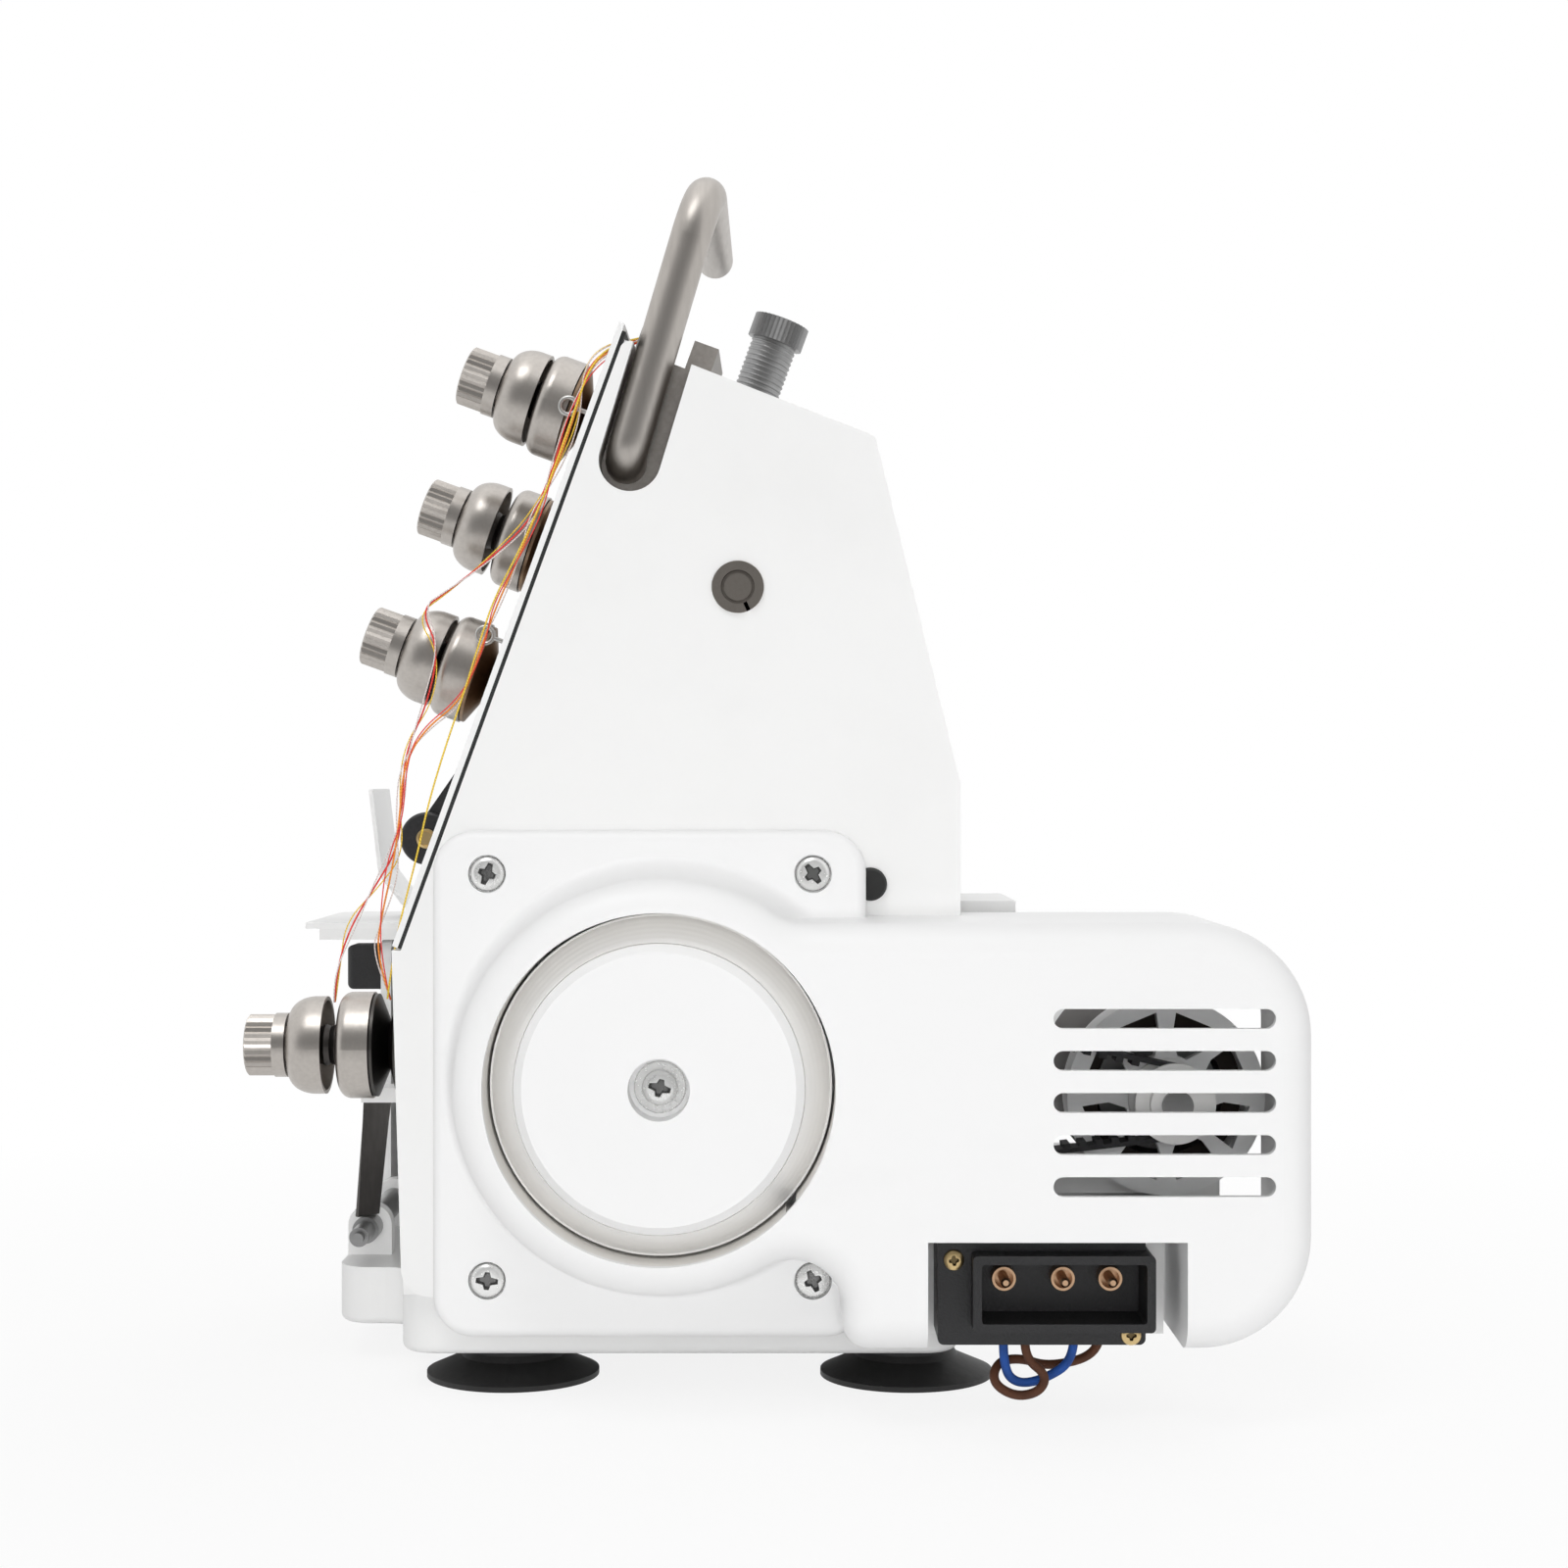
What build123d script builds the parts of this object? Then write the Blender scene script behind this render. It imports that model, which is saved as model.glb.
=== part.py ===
"""Compact serger overlock machine, modelled piece by piece in millimetres.

+X is the machine's right (belt cover side), -Y its front (tension knobs), +Z up.
The origin lies on the table, under the middle of the machine.
"""

from build123d import *
import math
import os

os.makedirs("parts", exist_ok=True)

# Fits
running_clearance = 0.06
part_clearance = 0.3
moving_clearance = 0.4

# Base and feet
base_bottom_z = 9.6
base_top_z = 25.0
base_right_x = 62.0
base_left_x = -103.0
base_front_y = -91.0
base_lobe_front_y = -113.0
base_lobe_right_x = 25.0
base_rear_y = 51.6
base_corner_radius = 9.0
foot_radius = 22.5
foot_neck_radius = 12.5
foot_rim = 1.4
foot_right_x = 40.0
foot_left_x = -78.5
foot_right_front_y = -64.0
foot_left_front_y = -97.0
foot_rear_y = 39.0

# Casing outline, seen from the right
casing_right_x = 62.5
casing_left_x = -39.5
casing_wall = 4.0
side_plate_thickness = 3.0
casing_rear_y = 51.6
rear_knee_z = 154.6
top_rear_y = 30.0
top_rear_z = 242.5
top_slope = 21.4
front_top_y = -32.6
front_top_z = 269.8
front_tilt = 20.0
front_foot_z = 112.5
lower_front_top_y = -92.2
lower_front_foot_y = -89.6
casing_corner_radius = 2.5
casing_foot_radius = 7.0

# Front panel
gasket_thickness = 1.0
panel_thickness = 1.5
panel_overhang = 0.8

# Shafts and bearing web
shaft_y = -22.7
shaft_z = 82.0
shaft_radius = 7.0
shaft_stub = 4.0
eccentric_throw = 2.0
eccentric_cover = 1.0
eccentric_length = 8.0
web_x = 24.0
web_thickness = 7.0
web_top_z = 128.0
needle_shaft_drop = 51.9
needle_shaft_depth = 48.6
needle_hub_radius = 8.2
needle_shaft_radius = 4.2
needle_shaft_end_radius = 3.5
shaft_ring_radius = 6.6

# Needle head on the left of the casing
head_left_x = -84.0
head_front_depth = 3.0
head_arm_room = 3.2
head_top_drop = -4.0
head_rise = 49.5
head_wall = 4.0
face_cover_thickness = 2.5
bar_x = -62.0
needle_bar_depth = 14.0
needle_bar_radius = 3.6
presser_bar_depth = 28.5
presser_bar_radius = 4.0
guide_boss_radius = 6.6
guide_boss_length = 10.0
upper_guide_drop = 22.0
upper_guide_length = 10.0

# Bed on the left, under the cloth plate
bed_left_x = -103.0
bed_rear_y = 46.0
bed_front_y = -108.4
bed_lip_front_y = -129.0
bed_wall = 4.0
bed_deck = 3.2
cloth_plate_thickness = 1.8
cloth_plate_left_x = -107.5
cloth_plate_front_y = -133.2
cloth_plate_rear_y = 48.0
cloth_plate_top_z = 114.0
needle_plate_left_x = -94.0
needle_plate_front = 25.6
needle_plate_rear = 34.4
needle_plate_seat = 4.0

# Carry handle and its pockets
handle_radius = 5.2
handle_x = 60.2
handle_pivot_drop = 31.16
handle_pivot_depth = 10.28
handle_lean = 16.5
handle_leg = 72.5
handle_bar_end_x = -32.5
handle_bend = 13.0
handle_foot_bend = 6.0
pocket_radius = 7.9
pocket_offset = 1.67
pocket_lean = 17.0
pocket_floor_x = 53.4
tray_wall = 1.5
pivot_boss_length = 8.0
pivot_boss_wall = 2.8
strap_depth = 15.9
strap_width = 6.6
strap_height = 7.9
strap_root = 5.0
strap_end_x = 12.0

# Tension units: place across the machine, drop along the slanted front, open gap behind the dome
tension_x = (24.5, 1.5, 25.5)
tension_drop = (20.8, 56.2, 95.1)
tension_gap = (0.9, 2.5, 1.1, 3.7)
lower_tension_x = 42.5
lower_tension_z = 86.4
disc_zone = 8.5
disc_radius = 13.4
disc_thickness = 0.8
disc_hub_radius = 6.0
drum_radius = 13.85
drum_length = 8.7
drum_round = 3.0
dome_radius = 12.7
dome_length = 9.5
dome_wall = 1.0
dome_throat = 8.0
collar_radius = 8.35
collar_length = 3.2
collar_gap = 0.6
knob_radius = 8.0
knob_length = 7.5
knob_round = 1.6
knob_ribs = 28
knurl_depth = 0.5
stud_radius = 3.0
stud_tail = 6.0
lower_wall_draft = 0.4
disc_seat_gap = 1.2
spring_radius = 5.4
spring_wire = 0.5
spring_turns = 4

# Belt cover
cover_face_x = 107.5
cover_wall = 2.5
flange_face_x = 77.5
flange_rear_y = 27.4
flange_bottom_z = 17.1
flange_top_z = 142.9
flange_corner = 10.0
flange_edge = 2.5
boss_radius = 50.0
boss_edge = 8.0
boss_blend = 12.0
flare_reach = 5.1
leg_corner = 6.0
wheel_opening_radius = 42.0
housing_top_z = 121.4
housing_rear_y = 133.2
housing_bottom_z = 19.6
housing_front_y = 21.0
housing_corner = 27.0
housing_inner_x = 48.0
notch_front_y = 41.1
notch_rear_y = 102.6
notch_top_z = 46.0
slot_front_y = 70.8
slot_rear_y = 123.5
slot_height = 4.7
slot_pitch = 9.95
slot_count = 5
slot_low_z = 59.2
screw_front_y = -66.7
screw_rear_y = 14.2
screw_low_z = 31.3
screw_high_z = 132.3
screw_head_radius = 4.4
screw_head_height = 2.4
screw_shank_radius = 2.0
screw_sink = 2.2

# Handwheel and drive
wheel_face_x = 107.0
wheel_disc_radius = 34.6
wheel_rim_radius = 41.3
wheel_rim_x = 86.0
wheel_rim_width = 5.0
wheel_wall = 3.0
wheel_edge = 2.0
mark_width = 3.0
mark_length = 5.0
mark_depth = 2.4
mark_turn = -40
wheel_recess_radius = 7.4
wheel_recess_depth = 4.0
wheel_hub_radius = 12.0
wheel_screw_radius = 4.2
pulley_x = 70.0
pulley_width = 11.0
belt_width = 8.0
belt_pitch = 4.07
big_teeth = 45
small_teeth = 12
tooth_height = 1.2
belt_back = 1.1
motor_y = 103.5
motor_z = 75.7
motor_radius = 25.0
motor_shaft_radius = 3.8
motor_front_x = 66.0
motor_rear_x = -10.0
motor_frame_length = 12.0
motor_windows = 8
core_bore = 16.5
rotor_radius = 15.5
pulley_hub_radius = 8.0

# Motor bracket and mains inlet
bracket_plate = 4.2
bracket_left_x = -6.0
bracket_right_x = 42.0
bracket_top_z = 124.0
bracket_foot_z = 32.0
saddle_height = 10.0
inlet_plate_x = 70.0
inlet_plate_thickness = 3.0
inlet_front_x = 97.5
inlet_body_x = 90.0
inlet_front_y = 44.4
inlet_rear_y = 95.0
inlet_bottom_z = 18.1
inlet_top_z = 44.5
inlet_corner = 1.5
socket_corner = 1.2
socket_inner_corner = 0.8
socket_wall = 2.1
socket_front_y = 52.5
socket_rear_y = 96.5
socket_bottom_z = 22.5
socket_top_z = 41.0
socket_depth = 16.0
pin_y = (60.8, 75.2, 86.8)
pin_z = 33.6
pin_radius = 1.2
pin_sleeve_radius = 2.9
pin_length = 11.0

# Looper cover, hinge and looper parts
hinge_y = -107.0
hinge_z = 33.0
hinge_end_x = 27.5
hinge_pin_radius = 1.5
hinge_sleeve_radius = 2.6
hinge_tube_radius = 3.6
hinge_rod_radius = 2.4
hinge_tube_lug_x = 1.0
hinge_tube_end_x = -38.0
cover_plate_thickness = 3.0
cover_plate_y = -112.0
looper_cover_left_x = -102.0
looper_cover_right_x = -45.5
looper_shaft_radius = 4.0
looper_shaft_z = 52.0
lower_looper_x = -62.0
upper_looper_x = -86.0
looper_arm_thickness = 4.0
looper_gap = 3.5
looper_cover_gap = 5.0
looper_headroom = 11.0
looper_sweep = 24.0

# Presser, knife and feed
foot_gap = 1.0
foot_sole = 2.2
foot_shank = 17.25
foot_shank_radius = 5.5
foot_slot_half = 3.0
sole_x = (-76.0, -54.0)
sole_front = 17.6
sole_rear = 28.4
needle_slot_half = 8.0
needle_slot_width = 4.0
needle_length = 19.0
needle_bar_rise = 26.0
needle_collar_radius = 6.0
needle_collar_half = 4.0
needle_clamp_radius = 5.0
needle_clamp_length = 6.0
needle_shank_radius = 0.96
needle_shank_length = 6.0
needle_radius = 0.6
knife_rise = 3.0
knife_drop = 5.0
feed_travel = 2.5
feed_stand = 0.6
feed_row_width = 3.5
feed_bar_x = (-73.0, -57.0)
feed_bar_depth = 12.0
feed_bar_height = 9.0
feed_bar_tail = 46.0
feed_tooth = 2.0
feed_rows = 10
pressure_head_radius = 8.4
pressure_head_height = 7.0
pressure_head_drop = -36.0
pressure_stem_radius = 6.6
thread_radius = 0.25
wire_radius = 1.15
knife_x = (-51.0, -45.0)
knife_front = 11.6
knife_rear = 3.6
knife_stand = 5.0
guard_x = (-92.0, -58.0)
guard_sheet = 1.2
guard_reach = 20.6
guard_height = 39.0
guard_foot = 6.0
guard_toe = 12.0
guard_toe_rise = 4.0
guard_shin = 19.0
guard_shin_rise = 13.0
guard_lean = 22.0
guard_bend = 2.5
hinge_sleeve_x = 14.0
latch_depth = 10.0
latch_height = 13.0
lifter_pivot_rise = 4.0
lifter_pivot_out = 7.0
lifter_knob_y = -98.5
lifter_knob_rise = 24.5
lifter_knob_radius = 7.8
lifter_x = -48.0
lifter_thickness = 5.0


def block(x0, x1, y0, y1, z0, z1):
    """Box between two opposite corners."""
    middle = Pos((x0 + x1) / 2, (y0 + y1) / 2, (z0 + z1) / 2)
    return middle * Box(x1 - x0, y1 - y0, z1 - z0)


def rod(radius, start, end):
    """Round bar from one point to another."""
    run = Vector(*end) - Vector(*start)
    plane = Plane(origin=start, z_dir=run.normalized())
    return extrude(plane * Circle(radius), run.length)


def rod_x(radius, x0, x1, y, z):
    """Round bar along X."""
    return rod(radius, (x0, y, z), (x1, y, z))


def outline(points):
    """Flat face from corner points."""
    return make_face(Polyline(*points, close=True))


def from_side(face, x0, x1):
    """Extrude a face drawn in Y and Z from x0 to x1 across the machine."""
    return extrude(Plane.YZ.offset(x0) * face, x1 - x0)


def rounded_rectangle(y0, y1, z0, z1, radius):
    """Rounded rectangle between two corners."""
    return Pos((y0 + y1) / 2, (z0 + z1) / 2) * RectangleRounded(y1 - y0, z1 - z0, radius)


def inset(points, amounts):
    """Corners of a counter-clockwise outline whose sides each move inward by their own amount."""
    count = len(points)
    lines = []
    for i in range(count):
        start = Vector(*points[i])
        run = (Vector(*points[(i + 1) % count]) - start).normalized()
        lines.append((start + Vector(-run.Y, run.X) * amounts[i], run))
    corners = []
    for i in range(count):
        before, before_run = lines[i - 1]
        after, after_run = lines[i]
        turn = before_run.X * after_run.Y - before_run.Y * after_run.X
        gap = after - before
        reach = (gap.X * after_run.Y - gap.Y * after_run.X) / turn
        corner = before + before_run * reach
        corners.append((corner.X, corner.Y))
    return corners


tilt_sin = math.sin(math.radians(front_tilt))
tilt_cos = math.cos(math.radians(front_tilt))


def beside_front(drop, out):
    """Y and Z of a point: drop runs down the slanted front line, out stands forward of it."""
    y = front_top_y - drop * tilt_sin - out * tilt_cos
    z = front_top_z - drop * tilt_cos + out * tilt_sin
    return (y, z)


def drop_at(z, depth):
    """Drop along the slanted front to a height, for a point at a depth inside it."""
    return (front_top_z - z - depth * tilt_sin) / tilt_cos


# Places that follow from the slanted front, the cloth plate and the needle's line
handle_pivot_y, handle_pivot_z = beside_front(handle_pivot_drop, -handle_pivot_depth)
needle_shaft_y, needle_shaft_z = beside_front(needle_shaft_drop, -needle_shaft_depth)
head_depth = needle_shaft_depth + needle_hub_radius + head_arm_room + head_wall - head_front_depth
head_bottom_drop = drop_at(cloth_plate_top_z + head_rise, head_front_depth)
deck_top_z = cloth_plate_top_z - cloth_plate_thickness
deck_z = deck_top_z - bed_deck
needle_y = beside_front(drop_at(cloth_plate_top_z, needle_bar_depth), -needle_bar_depth)[0]
needle_plate_front_y = needle_y - needle_plate_front
needle_plate_rear_y = needle_y + needle_plate_rear
knife_y = (needle_y - knife_front, needle_y - knife_rear)
feed_bar_z = (deck_z - feed_bar_depth - feed_bar_height, deck_z - feed_bar_depth)


def slanted_rod(radius, x, depth, drop_top, drop_bottom):
    """Round bar that runs parallel to the slanted front, inside the head."""
    return rod(
        radius,
        (x, *beside_front(drop_top, -depth)),
        (x, *beside_front(drop_bottom, -depth)),
    )


def side_profile():
    """Corners of the casing's outline, counter-clockwise from the front foot."""
    slope = math.tan(math.radians(top_slope))
    lean = math.tan(math.radians(front_tilt))
    rise = front_top_z - top_rear_z
    reach = (top_rear_y - front_top_y + rise * lean) / (1 + slope * lean)
    front_foot_y = front_top_y - (front_top_z - front_foot_z) * lean
    return [
        (lower_front_foot_y, base_top_z),
        (casing_rear_y, base_top_z),
        (casing_rear_y, rear_knee_z),
        (top_rear_y, top_rear_z),
        (top_rear_y - reach, top_rear_z + reach * slope),
        (front_foot_y, front_foot_z),
        (lower_front_top_y, front_foot_z),
    ]


def pocket_slot(radius, length=70.0):
    """Open-topped slot that the handle's leg stands in."""
    lean = math.radians(pocket_lean)
    y = handle_pivot_y + pocket_offset * math.cos(lean)
    z = handle_pivot_z - pocket_offset * math.sin(lean)
    shaft = Pos(0, length / 2) * Rectangle(2 * radius, length)
    return Pos(y, z) * Rot(0, 0, -pocket_lean) * (Circle(radius) + shaft)


parts = {}

# Base plate with a lobe under the bed, and lugs for the cover's hinge rod
base_outline = outline(
    [
        (base_left_x, base_lobe_front_y),
        (base_lobe_right_x, base_lobe_front_y),
        (base_lobe_right_x, base_front_y),
        (base_right_x, base_front_y),
        (base_right_x, base_rear_y),
        (base_left_x, base_rear_y),
    ]
)
base_outline = fillet(base_outline.vertices(), base_corner_radius)
base = extrude(Pos(0, 0, base_bottom_z) * base_outline, base_top_z - base_bottom_z)
base = fillet(base.faces().sort_by(Axis.Z)[0].edges(), 2.0)

lug_half = 6.0
lug_width = 5.0
lug_places = (hinge_tube_lug_x, casing_left_x - lug_width, looper_cover_left_x + lug_width)
for lug_x, bore in zip(lug_places, (hinge_tube_radius, hinge_rod_radius, hinge_rod_radius)):
    lug = from_side(
        Pos(hinge_y, hinge_z) * Circle(lug_half)
        + Pos(hinge_y, (base_top_z + hinge_z) / 2 - 0.5)
        * Rectangle(2 * lug_half, hinge_z - base_top_z + 1.0),
        lug_x,
        lug_x + lug_width,
    )
    base += lug - rod_x(bore, lug_x - 1, lug_x + lug_width + 1, hinge_y, hinge_z)

foot_places = [
    (foot_right_x, foot_right_front_y),
    (foot_left_x, foot_left_front_y),
    (foot_right_x, foot_rear_y),
    (foot_left_x, foot_rear_y),
]
foot_stem_radius = 4.0
foot_stem_length = 6.0
for x, y in foot_places:
    base -= rod(foot_stem_radius, (x, y, base_bottom_z - 1), (x, y, base_bottom_z + foot_stem_length))
parts["base_plate"] = base


def suction_foot(x, y):
    """Rubber suction cup: a thin flared skirt under a neck, with a stem pushed into the base."""
    height = base_bottom_z
    hollow = foot_radius - 2.2
    section = make_face(
        Polyline(
            (0, height + foot_stem_length),
            (foot_stem_radius, height + foot_stem_length),
            (foot_stem_radius, height),
            (foot_neck_radius, height),
            (foot_neck_radius, height - 2.6),
            (foot_neck_radius + 1.0, height - 4.2),
            (foot_radius - 2.5, foot_rim + 1.1),
            (foot_radius, foot_rim),
            (foot_radius, 0),
            (hollow, 0),
            (foot_neck_radius, 2.4),
            (0, 3.4),
            close=True,
        )
    )
    return Pos(x, y, 0) * revolve(Plane.XZ * section, Axis.Z)


parts["suction_feet"] = Compound(children=[suction_foot(x, y) for x, y in foot_places])

# Cast body frame: hollow casing, bearing web, needle head and bed in one casting
profile = side_profile()
casing_face = outline(profile)
casing_face = fillet(casing_face.vertices().sort_by(Axis.X)[-2:], casing_corner_radius)
cavity_points = inset(profile, [casing_wall] * len(profile))
cavity_face = outline(cavity_points)

frame = from_side(outline(profile), casing_left_x, casing_right_x)
frame -= from_side(cavity_face, casing_left_x + casing_wall, casing_right_x)
web = from_side(cavity_face, web_x, web_x + web_thickness)
frame += web & block(
    web_x, web_x + web_thickness, lower_front_top_y, casing_rear_y, base_top_z, web_top_z
)

head_points = [
    beside_front(head_bottom_drop, -head_front_depth),
    beside_front(head_bottom_drop, -head_front_depth - head_depth),
    beside_front(head_top_drop, -head_front_depth - head_depth),
    beside_front(head_top_drop, -head_front_depth),
]
head_cavity = inset(head_points, [head_wall] * 4)
frame += from_side(outline(head_points), head_left_x, casing_left_x + casing_wall)
frame -= from_side(outline(head_cavity), head_left_x, casing_left_x - head_wall)
# Guides for the needle bar and the presser bar in the head
for depth in (needle_bar_depth, presser_bar_depth):
    frame += slanted_rod(
        guide_boss_radius, bar_x, depth, head_bottom_drop - 1, head_bottom_drop + guide_boss_length
    )
guide_front = beside_front(upper_guide_drop, -head_front_depth - head_wall / 2)
guide_points = [
    beside_front(upper_guide_drop + upper_guide_length, -head_front_depth - head_wall / 2),
    beside_front(upper_guide_drop + upper_guide_length, -presser_bar_depth - guide_boss_radius),
    beside_front(upper_guide_drop, -presser_bar_depth - guide_boss_radius),
    guide_front,
]
frame += from_side(outline(guide_points), bar_x - guide_boss_radius, casing_left_x)

# Bed walls and deck that carry the cloth plate
bed = block(bed_left_x, casing_left_x, bed_front_y, bed_rear_y, base_top_z, deck_top_z)
bed -= block(
    bed_left_x + bed_wall, casing_left_x, bed_front_y, bed_rear_y - bed_wall, base_top_z, deck_z
)
bed += block(bed_left_x, casing_left_x, bed_lip_front_y, bed_front_y, deck_z, deck_top_z)
bed -= block(
    needle_plate_left_x + needle_plate_seat,
    casing_left_x - needle_plate_seat,
    needle_plate_front_y + needle_plate_seat,
    needle_plate_rear_y - needle_plate_seat,
    deck_z,
    deck_top_z,
)
cross_wall_y = needle_plate_rear_y
cross_wall = block(
    bed_left_x + bed_wall, casing_left_x, cross_wall_y, cross_wall_y + bed_wall, base_top_z, deck_z
)
cross_wall -= block(
    feed_bar_x[0] - part_clearance,
    feed_bar_x[1] + part_clearance,
    cross_wall_y,
    cross_wall_y + bed_wall,
    feed_bar_z[0] - part_clearance,
    feed_bar_z[1] + part_clearance,
)
eccentric_radius = shaft_radius + eccentric_throw + eccentric_cover
shaft_left_x = casing_left_x - shaft_stub
cross_wall -= rod_x(
    eccentric_radius + eccentric_throw + moving_clearance,
    shaft_left_x - eccentric_length - moving_clearance,
    casing_left_x,
    shaft_y,
    shaft_z,
)
bed += cross_wall
frame += bed

# Guide for the knife bar on the casing's left wall
knife_guide_z = (68.0, 84.0)
knife_guide_wall = 4.0
knife_guide = block(
    knife_x[0] - knife_guide_wall,
    casing_left_x,
    knife_y[0] - knife_guide_wall,
    knife_y[1] + knife_guide_wall,
    *knife_guide_z,
)
knife_guide -= block(
    knife_x[0] - part_clearance,
    knife_x[1] + part_clearance,
    knife_y[0] - part_clearance,
    knife_y[1] + part_clearance,
    *knife_guide_z,
)
frame += knife_guide

# Lug on the head's front for the lifter lever
lifter_boss_radius = 5.5
lifter_pin_radius = 2.5
lifter_pivot_drop = head_bottom_drop - lifter_pivot_rise
lifter_y, lifter_z = beside_front(lifter_pivot_drop, lifter_pivot_out)
lug_points = [
    beside_front(head_bottom_drop, lifter_pivot_out),
    beside_front(head_bottom_drop, -head_front_depth - head_wall / 2),
    beside_front(lifter_pivot_drop - lifter_boss_radius, -head_front_depth - head_wall / 2),
    beside_front(lifter_pivot_drop - lifter_boss_radius, lifter_pivot_out),
]
lifter_lug = outline(lug_points) + Pos(lifter_y, lifter_z) * Circle(lifter_boss_radius)
lifter_lug_x = lifter_x + part_clearance
frame += from_side(lifter_lug, lifter_lug_x, casing_left_x)

# Boss for the pressure screw, and a bracket for the cover spring
pressure_boss_radius = 10.0
pressure_boss_height = 6.0
frame += slanted_rod(
    pressure_boss_radius,
    bar_x,
    presser_bar_depth,
    head_top_drop - pressure_boss_height,
    head_top_drop + head_wall / 2,
)
spring_bracket_x = (5.5, 15.5)
spring_bracket_y = -108.0
spring_bracket_z = (68.0, 72.0)
frame += block(
    *spring_bracket_x, spring_bracket_y, lower_front_foot_y + casing_wall / 2, *spring_bracket_z
)

# Bores for shafts and bars
bore_x = web_x + web_thickness
frame -= rod_x(shaft_radius + running_clearance, casing_left_x, bore_x, shaft_y, shaft_z)
frame -= rod_x(
    needle_shaft_radius + running_clearance,
    casing_left_x - head_wall,
    casing_left_x + casing_wall,
    needle_shaft_y,
    needle_shaft_z,
)
guide_end_drop = head_bottom_drop + guide_boss_length
frame -= slanted_rod(
    needle_bar_radius + running_clearance, bar_x, needle_bar_depth, upper_guide_drop - 1, guide_end_drop
)
frame -= slanted_rod(
    presser_bar_radius + running_clearance, bar_x, presser_bar_depth, upper_guide_drop - 1, guide_end_drop
)
frame -= slanted_rod(
    pressure_stem_radius + running_clearance,
    bar_x,
    presser_bar_depth,
    head_top_drop - pressure_boss_height,
    head_top_drop + head_wall,
)
frame -= rod_x(lifter_pin_radius + running_clearance, lifter_lug_x, casing_left_x - 1, lifter_y, lifter_z)
for looper_x in (lower_looper_x, upper_looper_x):
    frame -= rod(
        looper_shaft_radius + running_clearance,
        (looper_x, cross_wall_y, looper_shaft_z),
        (looper_x, bed_rear_y, looper_shaft_z),
    )
tray_back_x = pocket_floor_x - tray_wall
boss_end_x = tray_back_x - pivot_boss_length
pivot_bore = handle_radius + running_clearance
pivot_boss_radius = pivot_bore + pivot_boss_wall
frame -= from_side(pocket_slot(pocket_radius + tray_wall), tray_back_x, casing_right_x)
frame -= rod_x(pivot_boss_radius, boss_end_x, tray_back_x, handle_pivot_y, handle_pivot_z)

# Places and planes of the four tension units, each on its own seat
side_face_x = casing_right_x + side_plate_thickness
panel_out = gasket_thickness + panel_thickness
tension_planes = []
for x, drop in zip(tension_x, tension_drop):
    seat = (x, *beside_front(drop, panel_out))
    tension_planes.append(Plane(origin=seat, x_dir=(1, 0, 0), z_dir=(0, -tilt_cos, tilt_sin)))
lower_share = (lower_tension_z - base_top_z) / (front_foot_z - base_top_z)
lower_seat_y = lower_front_foot_y + lower_share * (lower_front_top_y - lower_front_foot_y)
tension_planes.append(
    Plane(origin=(lower_tension_x, lower_seat_y, lower_tension_z), x_dir=(1, 0, 0), z_dir=(0, -1, 0))
)
stud_back = panel_out + casing_wall + stud_tail
stud_hole = Pos(0, 0, -stud_back / 2) * Cylinder(stud_radius, stud_back + 4)
stud_holes = [plane * stud_hole for plane in tension_planes]
for hole in stud_holes:
    frame -= hole
spot_face = Cylinder(disc_hub_radius + part_clearance, 2)
frame -= tension_planes[-1] * Pos(0, 0, 1) * spot_face
parts["body_frame"] = frame

# Right side plate with the handle's slot, the shaft ring's seat and room for the main shaft
plate_face = outline(profile)
plate_face = fillet(plate_face.vertices().sort_by(Axis.Y)[0:1], casing_foot_radius)
plate_face = fillet(plate_face.vertices().sort_by(Axis.Y)[-3:], casing_corner_radius)
plate_face -= pocket_slot(pocket_radius)
side_plate = from_side(plate_face, casing_right_x, side_face_x)
side_plate -= rod_x(shaft_ring_radius, casing_right_x, side_face_x, needle_shaft_y, needle_shaft_z)
side_plate -= rod_x(shaft_radius + 2, casing_right_x, side_face_x, shaft_y, shaft_z)
parts["right_side_plate"] = side_plate

# Front panel and the black gasket behind it
panel_foot_drop = (front_top_z - front_foot_z - part_clearance) / tilt_cos


def front_sheet(out_near, out_far, top_drop, foot_drop):
    """Flat sheet that lies along the slanted front."""
    corners = [
        beside_front(foot_drop, out_far),
        beside_front(foot_drop, out_near),
        beside_front(top_drop, out_near),
        beside_front(top_drop, out_far),
    ]
    sheet = from_side(outline(corners), casing_left_x, side_face_x)
    for hole in stud_holes[:3]:
        sheet -= hole
    return sheet


parts["panel_gasket"] = front_sheet(0, gasket_thickness, 1.0, panel_foot_drop)
panel = front_sheet(gasket_thickness, panel_out, -panel_overhang, panel_foot_drop)
parts["front_panel"] = panel

# Pressed tray behind the slot, with the handle's pivot boss
tray = from_side(pocket_slot(pocket_radius + tray_wall), tray_back_x, casing_right_x)
tray -= from_side(pocket_slot(pocket_radius), pocket_floor_x, casing_right_x)
tray &= from_side(outline(profile), tray_back_x, casing_right_x)
tray += rod_x(pivot_boss_radius, boss_end_x, tray_back_x, handle_pivot_y, handle_pivot_z)
tray -= rod_x(pivot_bore, boss_end_x, pocket_floor_x, handle_pivot_y, handle_pivot_z)
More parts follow.
